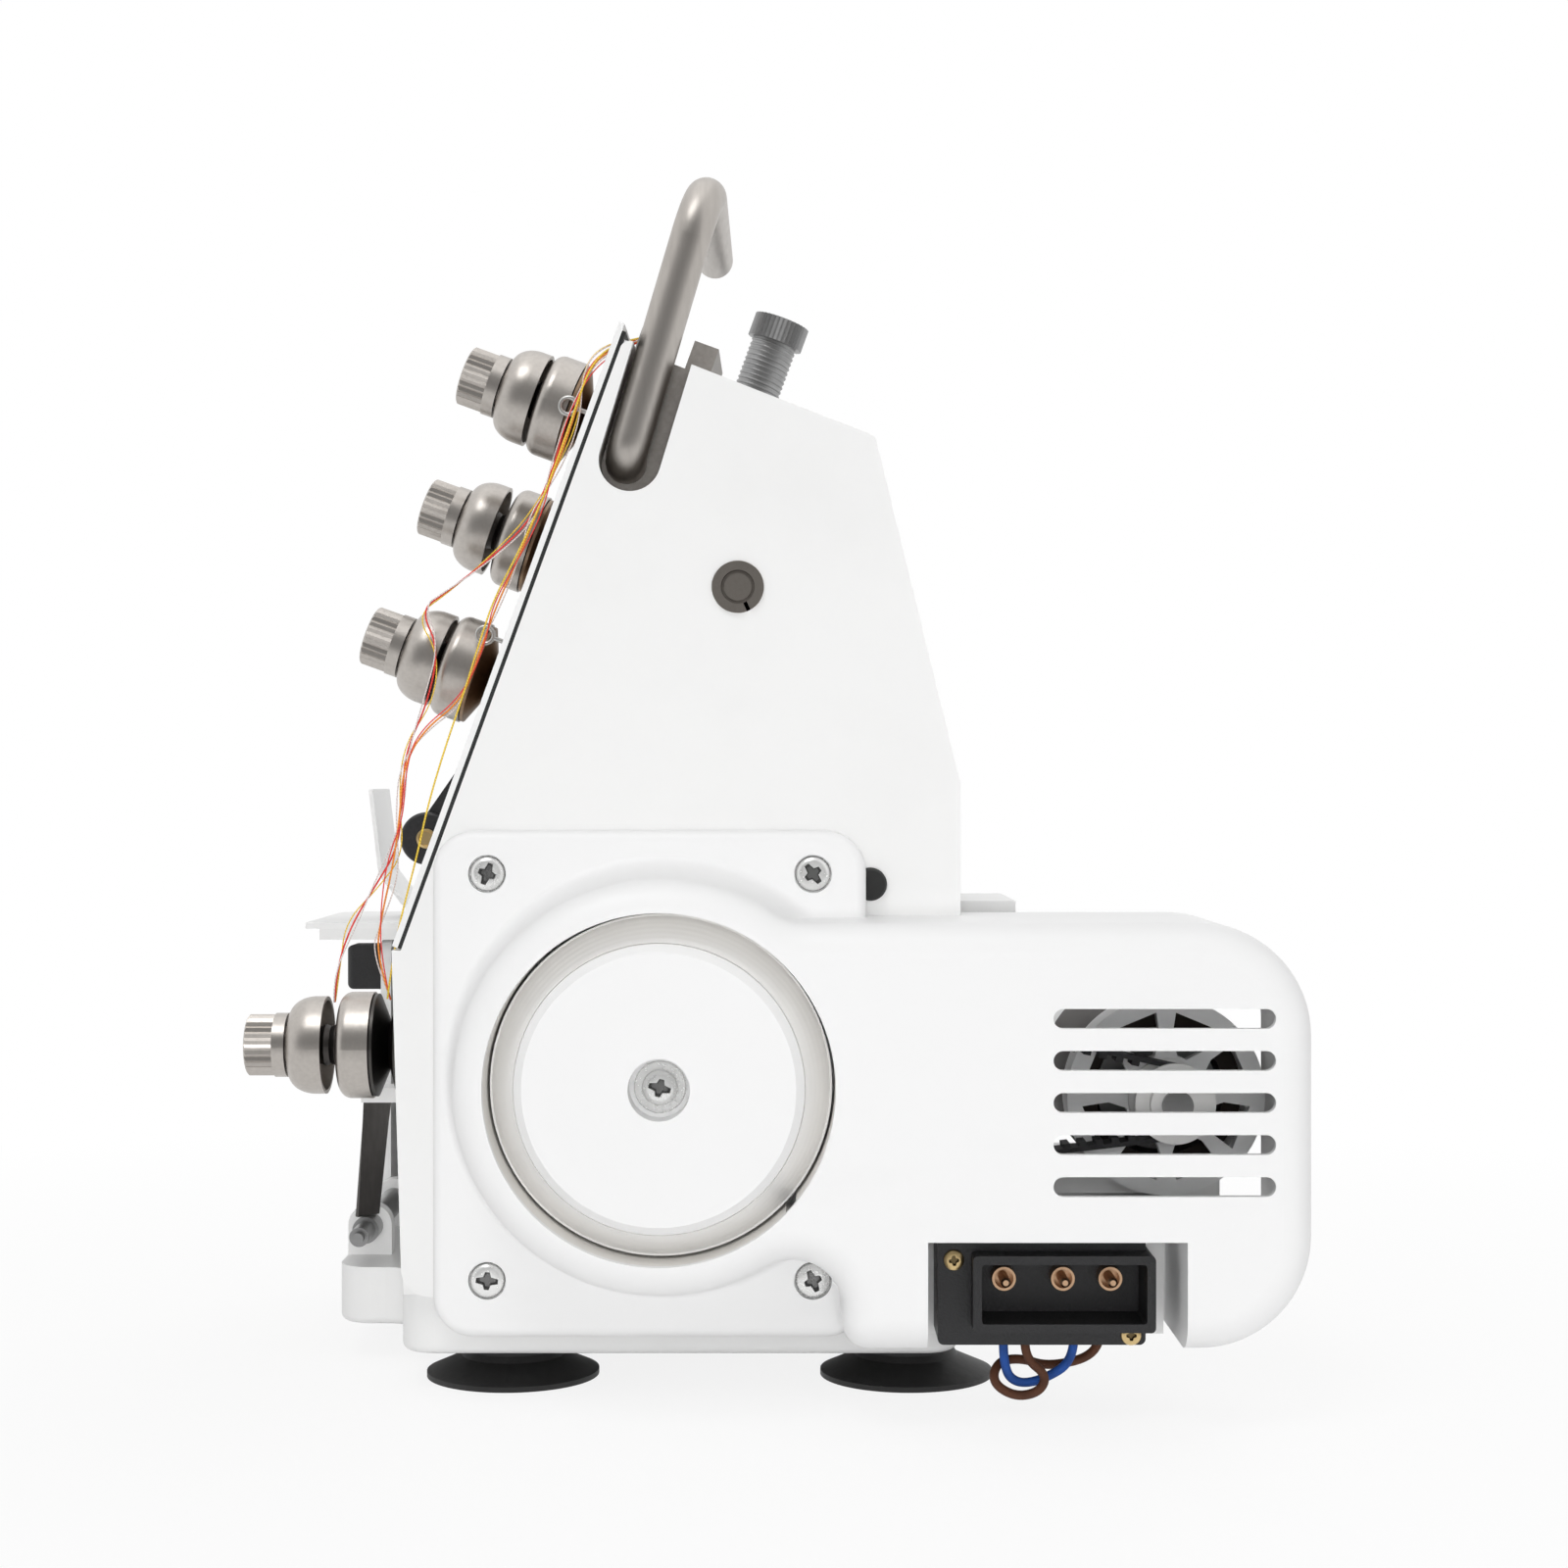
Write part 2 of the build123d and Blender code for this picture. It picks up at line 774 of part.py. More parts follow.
# Strap on the casing's top, just behind the pocket
corner_y, corner_z = profile[4]
corner_drop = (front_top_y - corner_y) * tilt_sin + (front_top_z - corner_z) * tilt_cos
strap_seat_drop = corner_drop + strap_depth * math.tan(math.radians(top_slope - front_tilt))
strap_top_drop = strap_seat_drop - strap_height
strap_foot_drop = strap_seat_drop + strap_root
strap_points = [
    beside_front(strap_foot_drop, -strap_depth),
    beside_front(strap_foot_drop, -strap_depth - strap_width),
    beside_front(strap_top_drop, -strap_depth - strap_width),
    beside_front(strap_top_drop, -strap_depth),
]
strap = from_side(outline(strap_points), strap_end_x, tray_back_x - part_clearance)
strap -= from_side(outline(profile), strap_end_x, tray_back_x)
parts["handle_pocket"] = Compound(children=[tray, strap])

# Carry handle: one bent rod with a rounded free end
lean = math.radians(handle_lean)
grip_y = handle_pivot_y + handle_leg * math.sin(lean)
grip_z = handle_pivot_z + handle_leg * math.cos(lean)
handle_path = FilletPolyline(
    (boss_end_x - 3, handle_pivot_y, handle_pivot_z),
    (handle_x, handle_pivot_y, handle_pivot_z),
    (handle_x, grip_y, grip_z),
    (handle_bar_end_x, grip_y, grip_z),
    radius=(handle_foot_bend, handle_bend),
)
handle_start = Plane(origin=handle_path @ 0, z_dir=handle_path % 0)
handle = sweep(handle_start * Circle(handle_radius), path=handle_path)
handle += Pos(handle_bar_end_x, grip_y, grip_z) * Sphere(handle_radius)
parts["carry_handle"] = handle


def turned(points):
    """Solid of revolution about Z from radius and height pairs."""
    return revolve(Plane.XZ * outline(points), Axis.Z)


def turned_x(points, y, z):
    """Solid of revolution about a line along X, from X and radius pairs."""
    return Pos(0, y, z) * revolve(Plane.XZ * outline(points), Axis.X)


# Tension units, drawn upright: heights run outward from the seat
drum_foot = disc_zone
drum_top = drum_foot + drum_length
disc_middle = disc_zone / 2
stud_bore = stud_radius + running_clearance
spigot_radius = 5.5


def tension_stud(tail, gap):
    """Threaded post with a nut behind the wall and a spacer under the discs."""
    total = drum_top + gap + dome_length + collar_gap + collar_length + knob_length
    spacer = disc_middle - disc_thickness - running_clearance
    post = turned(
        [
            (0, -tail - stud_tail),
            (disc_hub_radius, -tail - stud_tail),
            (disc_hub_radius, -tail),
            (stud_radius, -tail),
            (stud_radius, 0),
            (disc_hub_radius, 0),
            (disc_hub_radius, spacer),
            (stud_radius, spacer),
            (stud_radius, total - 3.0),
            (0, total - 3.0),
        ]
    )
    return post


def tension_disc(rim_height):
    """Dished disc: flat in the middle, flaring to a rim at the given height."""
    sign = 1 if rim_height > disc_middle else -1
    near = disc_middle + sign * running_clearance / 2
    far = near + sign * disc_thickness
    return turned(
        [
            (stud_radius, near),
            (disc_hub_radius, near),
            (disc_radius, rim_height - sign * disc_thickness),
            (disc_radius, rim_height),
            (disc_hub_radius, far),
            (stud_radius, far),
        ]
    )


def tension_drum():
    """Plain drum with a rounded front edge."""
    section = turned(
        [
            (stud_radius, drum_foot),
            (drum_radius, drum_foot),
            (drum_radius, drum_top),
            (stud_radius, drum_top),
        ]
    )
    return fillet(section.faces().sort_by(Axis.Z)[-1].edges().sort_by(SortBy.RADIUS)[-1], drum_round)


def tension_spring(gap):
    """Close-wound spring between the drum and the dome's end, as a beaded sleeve."""
    length = gap + dome_length - 2.6 * dome_wall
    step = length / spring_turns
    outer = []
    for turn in range(spring_turns):
        height = drum_top + turn * step
        outer += [(spring_radius - spring_wire, height), (spring_radius, height + step / 2)]
    outer.append((spring_radius - spring_wire, drum_top + length))
    inner = [(stud_bore + 0.6, drum_top + length), (stud_bore + 0.6, drum_top)]
    return turned(outer + inner)


def tension_dome(gap):
    """Hollow cap, open towards the drum, with a quarter-round shoulder."""
    back = drum_top + gap
    front = back + dome_length
    shoulder = back + 0.3 * dome_length
    wall = dome_wall

    def shell(radius, throat, low, knee, high):
        arch = EllipticalCenterArc(
            (throat, knee), radius - throat, high - knee, start_angle=0, arc_size=90
        )
        edge = Polyline((throat, high), (0, high), (0, low), (radius, low), (radius, knee))
        return revolve(Plane.XZ * make_face(edge + arch), Axis.Z)

    cap = shell(dome_radius, dome_throat, back, shoulder, front)
    cap -= shell(dome_radius - wall, dome_throat - wall, back, shoulder, front - wall)
    return cap - Pos(0, 0, front) * Cylinder(stud_bore, 4 * wall)


def tension_knob(gap):
    """Knurled thumb nut with a plain collar and a spigot towards the dome."""
    foot = drum_top + gap + dome_length + collar_gap
    grip = foot + collar_length
    top = grip + knob_length
    ribs = []
    for i in range(2 * knob_ribs):
        radius = knob_radius - (i % 2) * knurl_depth
        angle = math.pi * i / knob_ribs
        ribs.append((radius * math.cos(angle), radius * math.sin(angle)))
    knurled = extrude(Pos(0, 0, grip) * outline(ribs), knob_length)
    envelope = Pos(0, 0, grip + knob_length / 2) * Cylinder(knob_radius + knurl_depth, knob_length)
    knurled &= fillet(envelope.edges().sort_by(Axis.Z)[-1], knob_round + knurl_depth)
    spigot_foot = foot - collar_gap + part_clearance
    knob = knurled + turned(
        [
            (0, spigot_foot),
            (spigot_radius, spigot_foot),
            (spigot_radius, foot),
            (collar_radius, foot),
            (collar_radius, grip),
            (0, grip),
        ]
    )
    depth = top - spigot_foot - 1.5
    return knob - Pos(0, 0, spigot_foot + depth / 2) * Cylinder(stud_bore, depth)


wall_tails = [panel_out + casing_wall] * 3 + [casing_wall + lower_wall_draft]
studs, discs, drums, springs = [], [], [], []
for number, (plane, gap, tail) in enumerate(zip(tension_planes, tension_gap, wall_tails), start=1):
    studs.append(plane * tension_stud(tail, gap))
    discs += [plane * tension_disc(rim) for rim in (disc_seat_gap, disc_zone - part_clearance)]
    drums.append(plane * tension_drum())
    springs.append(plane * tension_spring(gap))
    parts[f"tension_dome_{number}"] = plane * tension_dome(gap)
    parts[f"tension_knob_{number}"] = plane * tension_knob(gap)
parts["tension_studs"] = Compound(children=studs)
parts["tension_discs"] = Compound(children=discs)
parts["tension_drums"] = Compound(children=drums)
parts["tension_springs"] = Compound(children=springs)


# Belt cover: rounded flange, flared wheel boss and motor housing, moulded as one hollow shell
housing_middle_y = (housing_front_y + housing_rear_y) / 2
housing = rounded_rectangle(
    housing_front_y, housing_rear_y, housing_bottom_z, housing_top_z, housing_corner
)
housing += rounded_rectangle(
    housing_front_y, housing_middle_y, housing_bottom_z, housing_top_z, leg_corner
)
housing += Pos((shaft_y + housing_middle_y) / 2, (shaft_z + housing_top_z) / 2) * Rectangle(
    housing_middle_y - shaft_y, housing_top_z - shaft_z
)
boss_circle = Pos(shaft_y, shaft_z) * Circle(boss_radius)
notch = Pos((notch_front_y + notch_rear_y) / 2, notch_top_z / 2) * Rectangle(
    notch_rear_y - notch_front_y, notch_top_z
)
shell_face = boss_circle + housing
boss_reach = math.sqrt(boss_radius**2 - (housing_top_z - shaft_z) ** 2)
boss_drop = math.sqrt(boss_radius**2 - (housing_front_y - shaft_y) ** 2)
# The blend under the boss ends above the housing's lower corner
leg_reach = housing_front_y - shaft_y
leg_fall = shaft_z - housing_bottom_z - leg_corner - 0.4 * boss_edge
blend_room = (leg_reach**2 + leg_fall**2 - boss_radius**2) / (2 * (boss_radius + leg_reach))
lower_blend = min(boss_blend, blend_room)
boss_corners = (
    (shaft_y + boss_reach, housing_top_z, boss_blend),
    (housing_front_y, shaft_z - boss_drop, lower_blend),
)
for corner_y, corner_z, blend in boss_corners:
    nearest = shell_face.vertices().sort_by_distance((corner_y, corner_z))[0]
    shell_face = fillet(nearest, blend)
shell_inner = offset(shell_face - notch, -cover_wall)
behind_casing = Pos(casing_rear_y + part_clearance + housing_rear_y, shaft_z) * Rectangle(
    2 * housing_rear_y, 2 * flange_top_z
)
flare_radius = boss_radius + flare_reach
flange_front_y = shaft_y - flare_radius - flange_edge

flange = from_side(
    rounded_rectangle(flange_front_y, flange_rear_y, flange_bottom_z, flange_top_z, flange_corner),
    side_face_x,
    flange_face_x,
)
flange = fillet(flange.faces().sort_by(Axis.X)[-1].edges(), flange_edge)
shell = from_side(shell_face, side_face_x, cover_face_x)
shell = fillet(shell.faces().sort_by(Axis.X)[-1].edges(), boss_edge)
flare_arc = EllipticalCenterArc(
    (cover_face_x - boss_edge, flare_radius),
    cover_face_x - boss_edge - flange_face_x,
    flare_radius - boss_radius,
    start_angle=180,
    arc_size=90,
)
flare_edge = Polyline(
    flare_arc @ 1,
    (cover_face_x - boss_edge, 0),
    (side_face_x, 0),
    (side_face_x, flare_radius),
    flare_arc @ 0,
)
flare = Pos(0, shaft_y, shaft_z) * revolve(Plane.XZ * make_face(flare_arc + flare_edge), Axis.X)
cover = flange + flare + shell
cover += from_side(shell_face & behind_casing, housing_inner_x, side_face_x)
inner_face_x = cover_face_x - cover_wall
cover -= from_side(shell_inner, side_face_x, inner_face_x)
cover -= from_side(shell_inner & behind_casing, housing_inner_x, side_face_x)
cover -= from_side(
    rounded_rectangle(
        flange_front_y + cover_wall,
        flange_rear_y - cover_wall,
        flange_bottom_z + cover_wall,
        flange_top_z - cover_wall,
        flange_corner - cover_wall,
    )
    - boss_circle,
    side_face_x,
    flange_face_x - cover_wall,
)
cover -= from_side(notch, housing_inner_x, cover_face_x)
cover -= rod_x(wheel_opening_radius, side_face_x, cover_face_x, shaft_y, shaft_z)
slot_middle = (slot_front_y + slot_rear_y) / 2
for row in range(slot_count):
    slot = Pos(slot_middle, slot_low_z + row * slot_pitch) * SlotOverall(
        slot_rear_y - slot_front_y, slot_height
    )
    cover -= from_side(slot, inner_face_x, cover_face_x)
screw_places = [(y, z) for y in (screw_front_y, screw_rear_y) for z in (screw_low_z, screw_high_z)]
screw_seat_x = flange_face_x - screw_sink
post_radius = screw_head_radius + 1.6
for y, z in screw_places:
    cover += rod_x(post_radius, side_face_x, flange_face_x - cover_wall, y, z)
    cover -= rod_x(screw_head_radius + part_clearance, screw_seat_x, flange_face_x, y, z)
    cover -= rod_x(screw_shank_radius, side_face_x, screw_seat_x, y, z)
parts["belt_cover"] = cover


def pan_screw(y, z):
    """Pan-head screw along X with a cross recess and a slot left to the finish."""
    tip_x = casing_right_x
    head_x = screw_seat_x + screw_head_height
    return turned_x(
        [
            (tip_x, 0),
            (tip_x, screw_shank_radius),
            (screw_seat_x, screw_shank_radius),
            (screw_seat_x, screw_head_radius),
            (head_x - 1.0, screw_head_radius),
            (head_x, screw_head_radius - 1.6),
            (head_x, 0),
        ],
        y,
        z,
    )


parts["belt_cover_screws"] = Compound(children=[pan_screw(y, z) for y, z in screw_places])
plate = parts["right_side_plate"]
for y, z in screw_places:
    plate -= rod_x(screw_shank_radius, casing_right_x, side_face_x, y, z)
parts["right_side_plate"] = plate

# Handwheel: a dished wheel with a sloped band behind its face
seat_radius = shaft_radius - 1.0
shaft_end_x = wheel_face_x - wheel_recess_depth - 5.0
hub_x = pulley_x + pulley_width + part_clearance
recess_x = wheel_face_x - wheel_recess_depth
screw_bore = 2.5
rim_front_x = wheel_rim_x + wheel_rim_width
wheel = turned_x(
    [
        (hub_x, seat_radius),
        (hub_x, wheel_hub_radius),
        (wheel_face_x - wheel_wall, wheel_hub_radius),
        (wheel_face_x - wheel_wall, wheel_disc_radius - wheel_wall),
        (rim_front_x, wheel_rim_radius - wheel_wall),
        (wheel_rim_x, wheel_rim_radius - wheel_wall),
        (wheel_rim_x, wheel_rim_radius),
        (rim_front_x, wheel_rim_radius),
        (wheel_face_x - wheel_edge, wheel_disc_radius),
        (wheel_face_x, wheel_disc_radius - wheel_edge),
        (wheel_face_x, wheel_recess_radius),
        (recess_x, wheel_recess_radius),
        (recess_x, screw_bore),
        (shaft_end_x, screw_bore),
        (shaft_end_x, seat_radius),
    ],
    shaft_y,
    shaft_z,
)
mark = Pos(0, shaft_y, shaft_z) * Rot(mark_turn, 0, 0) * block(
    rim_front_x - mark_depth,
    rim_front_x + mark_length,
    wheel_rim_radius - mark_depth,
    wheel_rim_radius + mark_depth,
    -mark_width / 2,
    mark_width / 2,
)
parts["handwheel"] = wheel - mark

washer_radius = 5.8
washer_x = recess_x + 1.1
parts["handwheel_screw"] = turned_x(
    [
        (shaft_end_x - 7, 0),
        (shaft_end_x - 7, screw_bore),
        (recess_x, screw_bore),
        (recess_x, washer_radius),
        (washer_x, washer_radius),
        (washer_x, wheel_screw_radius),
        (washer_x + 1.4, wheel_screw_radius),
        (washer_x + 2.4, wheel_screw_radius - 1.6),
        (washer_x + 2.4, 0),
    ],
    shaft_y,
    shaft_z,
)

# Main shaft with a thrust collar beside the web and an eccentric at its left end
collar_x = web_x + web_thickness + moving_clearance
main_shaft = turned_x(
    [
        (shaft_left_x, 0),
        (shaft_left_x, shaft_radius),
        (collar_x, shaft_radius),
        (collar_x, shaft_radius + 4),
        (collar_x + 5, shaft_radius + 4),
        (collar_x + 5, shaft_radius),
        (pulley_x, shaft_radius),
        (pulley_x, seat_radius),
        (shaft_end_x, seat_radius),
        (shaft_end_x, screw_bore),
        (shaft_end_x - 7, screw_bore),
        (shaft_end_x - 7, 0),
    ],
    shaft_y,
    shaft_z,
)
main_shaft += rod_x(
    eccentric_radius,
    shaft_left_x - eccentric_length,
    shaft_left_x,
    shaft_y,
    shaft_z + eccentric_throw,
)
parts["main_shaft"] = main_shaft


def pitch_radius(teeth):
    """Radius of the belt's pitch line on a toothed pulley."""
    return teeth * belt_pitch / (2 * math.pi)


def toothed_pulley(teeth, x0, x1):
    """Toothed belt pulley about the X axis."""
    tip = pitch_radius(teeth)
    root = tip - tooth_height
    points = []
    for i in range(teeth):
        for share, radius in ((0.0, root), (0.35, root), (0.5, tip), (0.85, tip)):
            angle = 2 * math.pi * (i + share) / teeth
            points.append((radius * math.cos(angle), radius * math.sin(angle)))
    return from_side(outline(points), x0, x1)


pulley_end_x = pulley_x + pulley_width
big_pulley = toothed_pulley(big_teeth, pulley_x, pulley_end_x)
big_pulley -= rod_x(seat_radius, pulley_x, pulley_end_x, 0, 0)
parts["belt_pulley"] = Pos(0, shaft_y, shaft_z) * big_pulley

hub_end_x = pulley_end_x + 4
motor_pulley = toothed_pulley(small_teeth, pulley_x, pulley_end_x)
for flange_x in (pulley_x - 1.2, pulley_end_x):
    motor_pulley += rod_x(pitch_radius(small_teeth) + 2.2, flange_x, flange_x + 1.2, 0, 0)
motor_pulley += rod_x(pulley_hub_radius - 1.5, pulley_end_x, hub_end_x, 0, 0)
motor_pulley -= rod_x(motor_shaft_radius, pulley_x - 2, hub_end_x, 0, 0)
parts["motor_pulley"] = Pos(0, motor_y, motor_z) * motor_pulley

# Toothed belt: smooth round the pulleys, toothed on its two free runs
belt_x = (pulley_x + (pulley_width - belt_width) / 2, pulley_x + (pulley_width + belt_width) / 2)
run = Vector(motor_y - shaft_y, motor_z - shaft_z)


def belt_loop(extra):
    """Face inside a loop that wraps both pulleys at a distance from their tips."""
    big = pitch_radius(big_teeth) + extra
    small = pitch_radius(small_teeth) + extra
    swing = math.acos((big - small) / run.length)
    heading = math.atan2(run.Y, run.X)
    corners = []
    for side in (1, -1):
        ray = (math.cos(heading + side * swing), math.sin(heading + side * swing))
        ends = [
            (shaft_y + big * ray[0], shaft_z + big * ray[1]),
            (motor_y + small * ray[0], motor_z + small * ray[1]),
        ]
        corners.append(ends)
    band = outline([corners[0][0], corners[1][0], corners[1][1], corners[0][1]])
    return band + Pos(shaft_y, shaft_z) * Circle(big) + Pos(motor_y, motor_z) * Circle(small), corners


inner_loop, inner_corners = belt_loop(part_clearance)
outer_loop, _ = belt_loop(part_clearance + belt_back)
belt_face = outer_loop - inner_loop
belt = from_side(belt_face, *belt_x)
for side, (start, end) in zip((1, -1), inner_corners):
    line = Vector(*end) - Vector(*start)
    heading = math.degrees(math.atan2(line.Y, line.X))
    teeth_fit = int((line.length - 16) / belt_pitch)
    tooth = Rectangle(belt_pitch * 0.45, tooth_height + belt_back)
    teeth_face = Sketch()
    for i in range(teeth_fit):
        along = (line.length - (teeth_fit - 1) * belt_pitch) / 2 + i * belt_pitch
        inward = (belt_back - tooth_height) / 2
        teeth_face += Pos(*start) * Rot(0, 0, heading) * Pos(along, side * inward) * tooth
    belt += from_side(teeth_face, *belt_x)
parts["drive_belt"] = belt


# Motor: two end frames, field core and armature
motor_back_x = motor_rear_x + motor_frame_length
core_front_x = motor_front_x - motor_frame_length
bearing_radius = 8.0
frame_wall = 4.0
window_rim = 0.5
window_outer = motor_radius - frame_wall - window_rim
window_inner = bearing_radius + 2.5
window_knee = window_inner + 3.5
window = outline(
    [
        (window_inner, -1.2),
        (window_knee, -4.2),
        (window_outer, -5.8),
        (window_outer, 5.8),
        (window_knee, 4.2),
        (window_inner, 1.2),
    ]
)


def end_frame(face_x, inward):
    """Cup-shaped end frame with windows round its bearing boss."""
    mouth_x = face_x + inward * motor_frame_length
    floor_x = face_x + inward * frame_wall
    low, high = sorted((face_x, mouth_x))
    cup = rod_x(motor_radius, low, high, 0, 0)
    low, high = sorted((floor_x, mouth_x))
    cup -= rod_x(motor_radius - frame_wall, low, high, 0, 0)
    low, high = sorted((face_x - inward * 2, floor_x + inward * 2))
    cup += rod_x(bearing_radius, low, high, 0, 0)
    low, high = sorted((face_x, floor_x))
    for i in range(motor_windows):
        cup -= from_side(Rot(0, 0, (i + 0.5) * 360 / motor_windows) * window, low, high)
    low, high = sorted((face_x - inward * 2, mouth_x))
    cup -= rod_x(motor_shaft_radius + running_clearance, low, high, 0, 0)
    return Pos(0, motor_y, motor_z) * cup


parts["motor_end_frames"] = Compound(children=[end_frame(motor_front_x, -1), end_frame(motor_rear_x, 1)])
core = rod_x(motor_radius, motor_back_x, core_front_x, motor_y, motor_z)
parts["motor_field_core"] = core - rod_x(core_bore, motor_back_x, core_front_x, motor_y, motor_z)
rotor_gap = 5.0
commutator_radius = 9.0
parts["armature"] = turned_x(
    [
        (motor_rear_x - 3, 0),
        (motor_rear_x - 3, motor_shaft_radius),
        (motor_back_x + rotor_gap, motor_shaft_radius),
        (motor_back_x + rotor_gap, rotor_radius),
        (core_front_x - rotor_gap, rotor_radius),
        (core_front_x - rotor_gap, commutator_radius),
        (core_front_x + 3, commutator_radius),
        (core_front_x + 3, motor_shaft_radius),
        (hub_end_x + 1.5, motor_shaft_radius),
        (hub_end_x + 1.5, 0),
    ],
    motor_y,
    motor_z,
)

# Motor bracket on the casing's rear wall, with a saddle, gussets and the inlet's plate
bracket_y = casing_rear_y + bracket_plate
saddle_top_z = motor_z - 0.86 * motor_radius
saddle_rear_y = motor_y + 0.7 * motor_radius
bracket = block(bracket_left_x, bracket_right_x, casing_rear_y, bracket_y, bracket_foot_z, bracket_top_z)
bracket += block(
    bracket_left_x,
    bracket_right_x,
    casing_rear_y,
    saddle_rear_y,
    saddle_top_z - saddle_height,
    saddle_top_z,
)
gusset_reach = 16.0
gusset = outline(
    [
        (casing_rear_y, saddle_top_z - 1),
        (casing_rear_y + gusset_reach, saddle_top_z - 1),
        (casing_rear_y + gusset_reach, bracket_top_z),
        (casing_rear_y, bracket_top_z),
    ]
)
for x in (bracket_left_x, bracket_right_x - bracket_plate):
    bracket += from_side(gusset, x, x + bracket_plate)
bracket += block(
    bracket_left_x,
    bracket_right_x,
    casing_rear_y,
    casing_rear_y + gusset_reach,
    bracket_top_z - bracket_plate,
    bracket_top_z,
)
inlet_gap = 0.8
inlet_back_x = inlet_plate_x + inlet_plate_thickness
arm_y = (notch_rear_y - inlet_gap - 5.0, notch_rear_y - inlet_gap)
arm_z = (saddle_top_z - saddle_height - 4.0, notch_top_z - inlet_gap)
bracket += block(bracket_right_x - 4, inlet_plate_x, *arm_y, *arm_z)
bracket += block(
    inlet_plate_x,
    inlet_back_x,
    notch_front_y + inlet_gap,
    notch_rear_y - inlet_gap,
    inlet_bottom_z - inlet_gap,
    notch_top_z - inlet_gap,
)
bracket -= rod_x(motor_radius, bracket_left_x, bracket_right_x, motor_y, motor_z)
bracket_stud_radius = 2.2
stud_y = notch_rear_y - inlet_gap - bracket_stud_radius
stud_z = notch_top_z - inlet_gap - bracket_stud_radius
bracket += rod_x(bracket_stud_radius, inlet_back_x, inlet_back_x + 6, stud_y, stud_z)
parts["motor_bracket"] = bracket

# Mains inlet block with a raised socket
inlet = from_side(
    rounded_rectangle(inlet_front_y, inlet_rear_y, inlet_bottom_z, inlet_top_z, inlet_corner),
    inlet_back_x,
    inlet_body_x,
)
inlet += from_side(
    rounded_rectangle(socket_front_y, socket_rear_y, socket_bottom_z, socket_top_z, socket_corner),
    inlet_back_x,
    inlet_front_x,
)
socket_floor_x = inlet_front_x - socket_depth
inlet -= from_side(
    rounded_rectangle(
        socket_front_y + socket_wall,
        socket_rear_y - socket_wall,
        socket_bottom_z + socket_wall,
        socket_top_z - socket_wall,
        socket_inner_corner,
    ),
    socket_floor_x,
    inlet_front_x,
)
parts["inlet_block"] = inlet


def inlet_pin(y):
    """Contact pin standing inside its sleeve."""
    sleeve_x = socket_floor_x + pin_length / 2
    return turned_x(
        [
            (socket_floor_x, 0),
            (socket_floor_x, pin_sleeve_radius),
            (sleeve_x, pin_sleeve_radius),
            (sleeve_x, pin_sleeve_radius - 0.6),
            (socket_floor_x + 1, pin_sleeve_radius - 0.6),
            (socket_floor_x + 1, pin_radius),
            (socket_floor_x + pin_length - 0.5, pin_radius),
            (socket_floor_x + pin_length, pin_radius - 0.5),
            (socket_floor_x + pin_length, 0),
        ],
        y,
        pin_z,
    )


parts["inlet_pins"] = Compound(children=[inlet_pin(y) for y in pin_y])

# Needle drive shaft with its forked arm, and its split ring in the side plate
arm_gap = 9.0
arm_width = 6.0
arm_half = 6.0
fork_half = 2.8
fork_room = 7.0
fork_tip_gap = 2.0
arm_x = (bar_x + arm_gap, bar_x + arm_gap + arm_width)
fork_tip_depth = head_front_depth + head_wall + fork_tip_gap
drive_pin_radius = 2.0


def drop_box(drop, half, near_depth, far_depth, x0, x1):
    """Slab across the head, square to the slanted front."""
    corners = [
        beside_front(drop + half, -near_depth),
        beside_front(drop + half, -far_depth),
        beside_front(drop - half, -far_depth),
        beside_front(drop - half, -near_depth),
    ]
    return from_side(outline(corners), x0, x1)


needle_shaft = rod_x(needle_shaft_radius, arm_x[0] - 2, side_face_x - 1, needle_shaft_y, needle_shaft_z)
needle_shaft += rod_x(
    needle_shaft_end_radius, side_face_x - 1, side_face_x + 0.2, needle_shaft_y, needle_shaft_z
)
needle_shaft += rod_x(needle_hub_radius, *arm_x, needle_shaft_y, needle_shaft_z)
drive_arm = drop_box(needle_shaft_drop, arm_half, fork_tip_depth, needle_shaft_depth, *arm_x)
drive_arm -= drop_box(
    needle_shaft_drop, fork_half, fork_tip_depth, needle_bar_depth + fork_room, *arm_x
)
parts["needle_drive_shaft"] = needle_shaft + drive_arm

ring_end_x = side_face_x + 0.7
ring_bore = needle_shaft_radius + running_clearance
ring = rod_x(shaft_ring_radius, casing_right_x, ring_end_x, 0, 0)
ring -= rod_x(ring_bore, casing_right_x, ring_end_x, 0, 0)
ring -= Rot(25, 0, 0) * block(casing_right_x, ring_end_x, -0.5, 0.5, -shaft_ring_radius - 1, 0)
parts["shaft_retaining_ring"] = Pos(0, needle_shaft_y, needle_shaft_z) * ring

# Needle bar with its collar, pin and clamp, and the needle
bar_top_drop = 14.0
needle_bar_end_drop = drop_at(cloth_plate_top_z + needle_bar_rise, needle_bar_depth)
needle_bar = slanted_rod(needle_bar_radius, bar_x, needle_bar_depth, bar_top_drop, needle_bar_end_drop)
needle_bar += slanted_rod(
    needle_collar_radius,
    bar_x,
    needle_bar_depth,
    needle_shaft_drop - needle_collar_half,
    needle_shaft_drop + needle_collar_half,
)
pin_seat = beside_front(needle_shaft_drop, -needle_bar_depth)
needle_bar += rod_x(drive_pin_radius, bar_x, arm_x[1] + 1, *pin_seat)
needle_top_drop = needle_bar_end_drop + needle_clamp_length
needle_bar += slanted_rod(
    needle_clamp_radius, bar_x, needle_bar_depth, needle_bar_end_drop - 1, needle_top_drop
)
parts["needle_bar"] = needle_bar
needle_tip_drop = needle_top_drop + needle_length
shank_end_drop = needle_top_drop + needle_shank_length
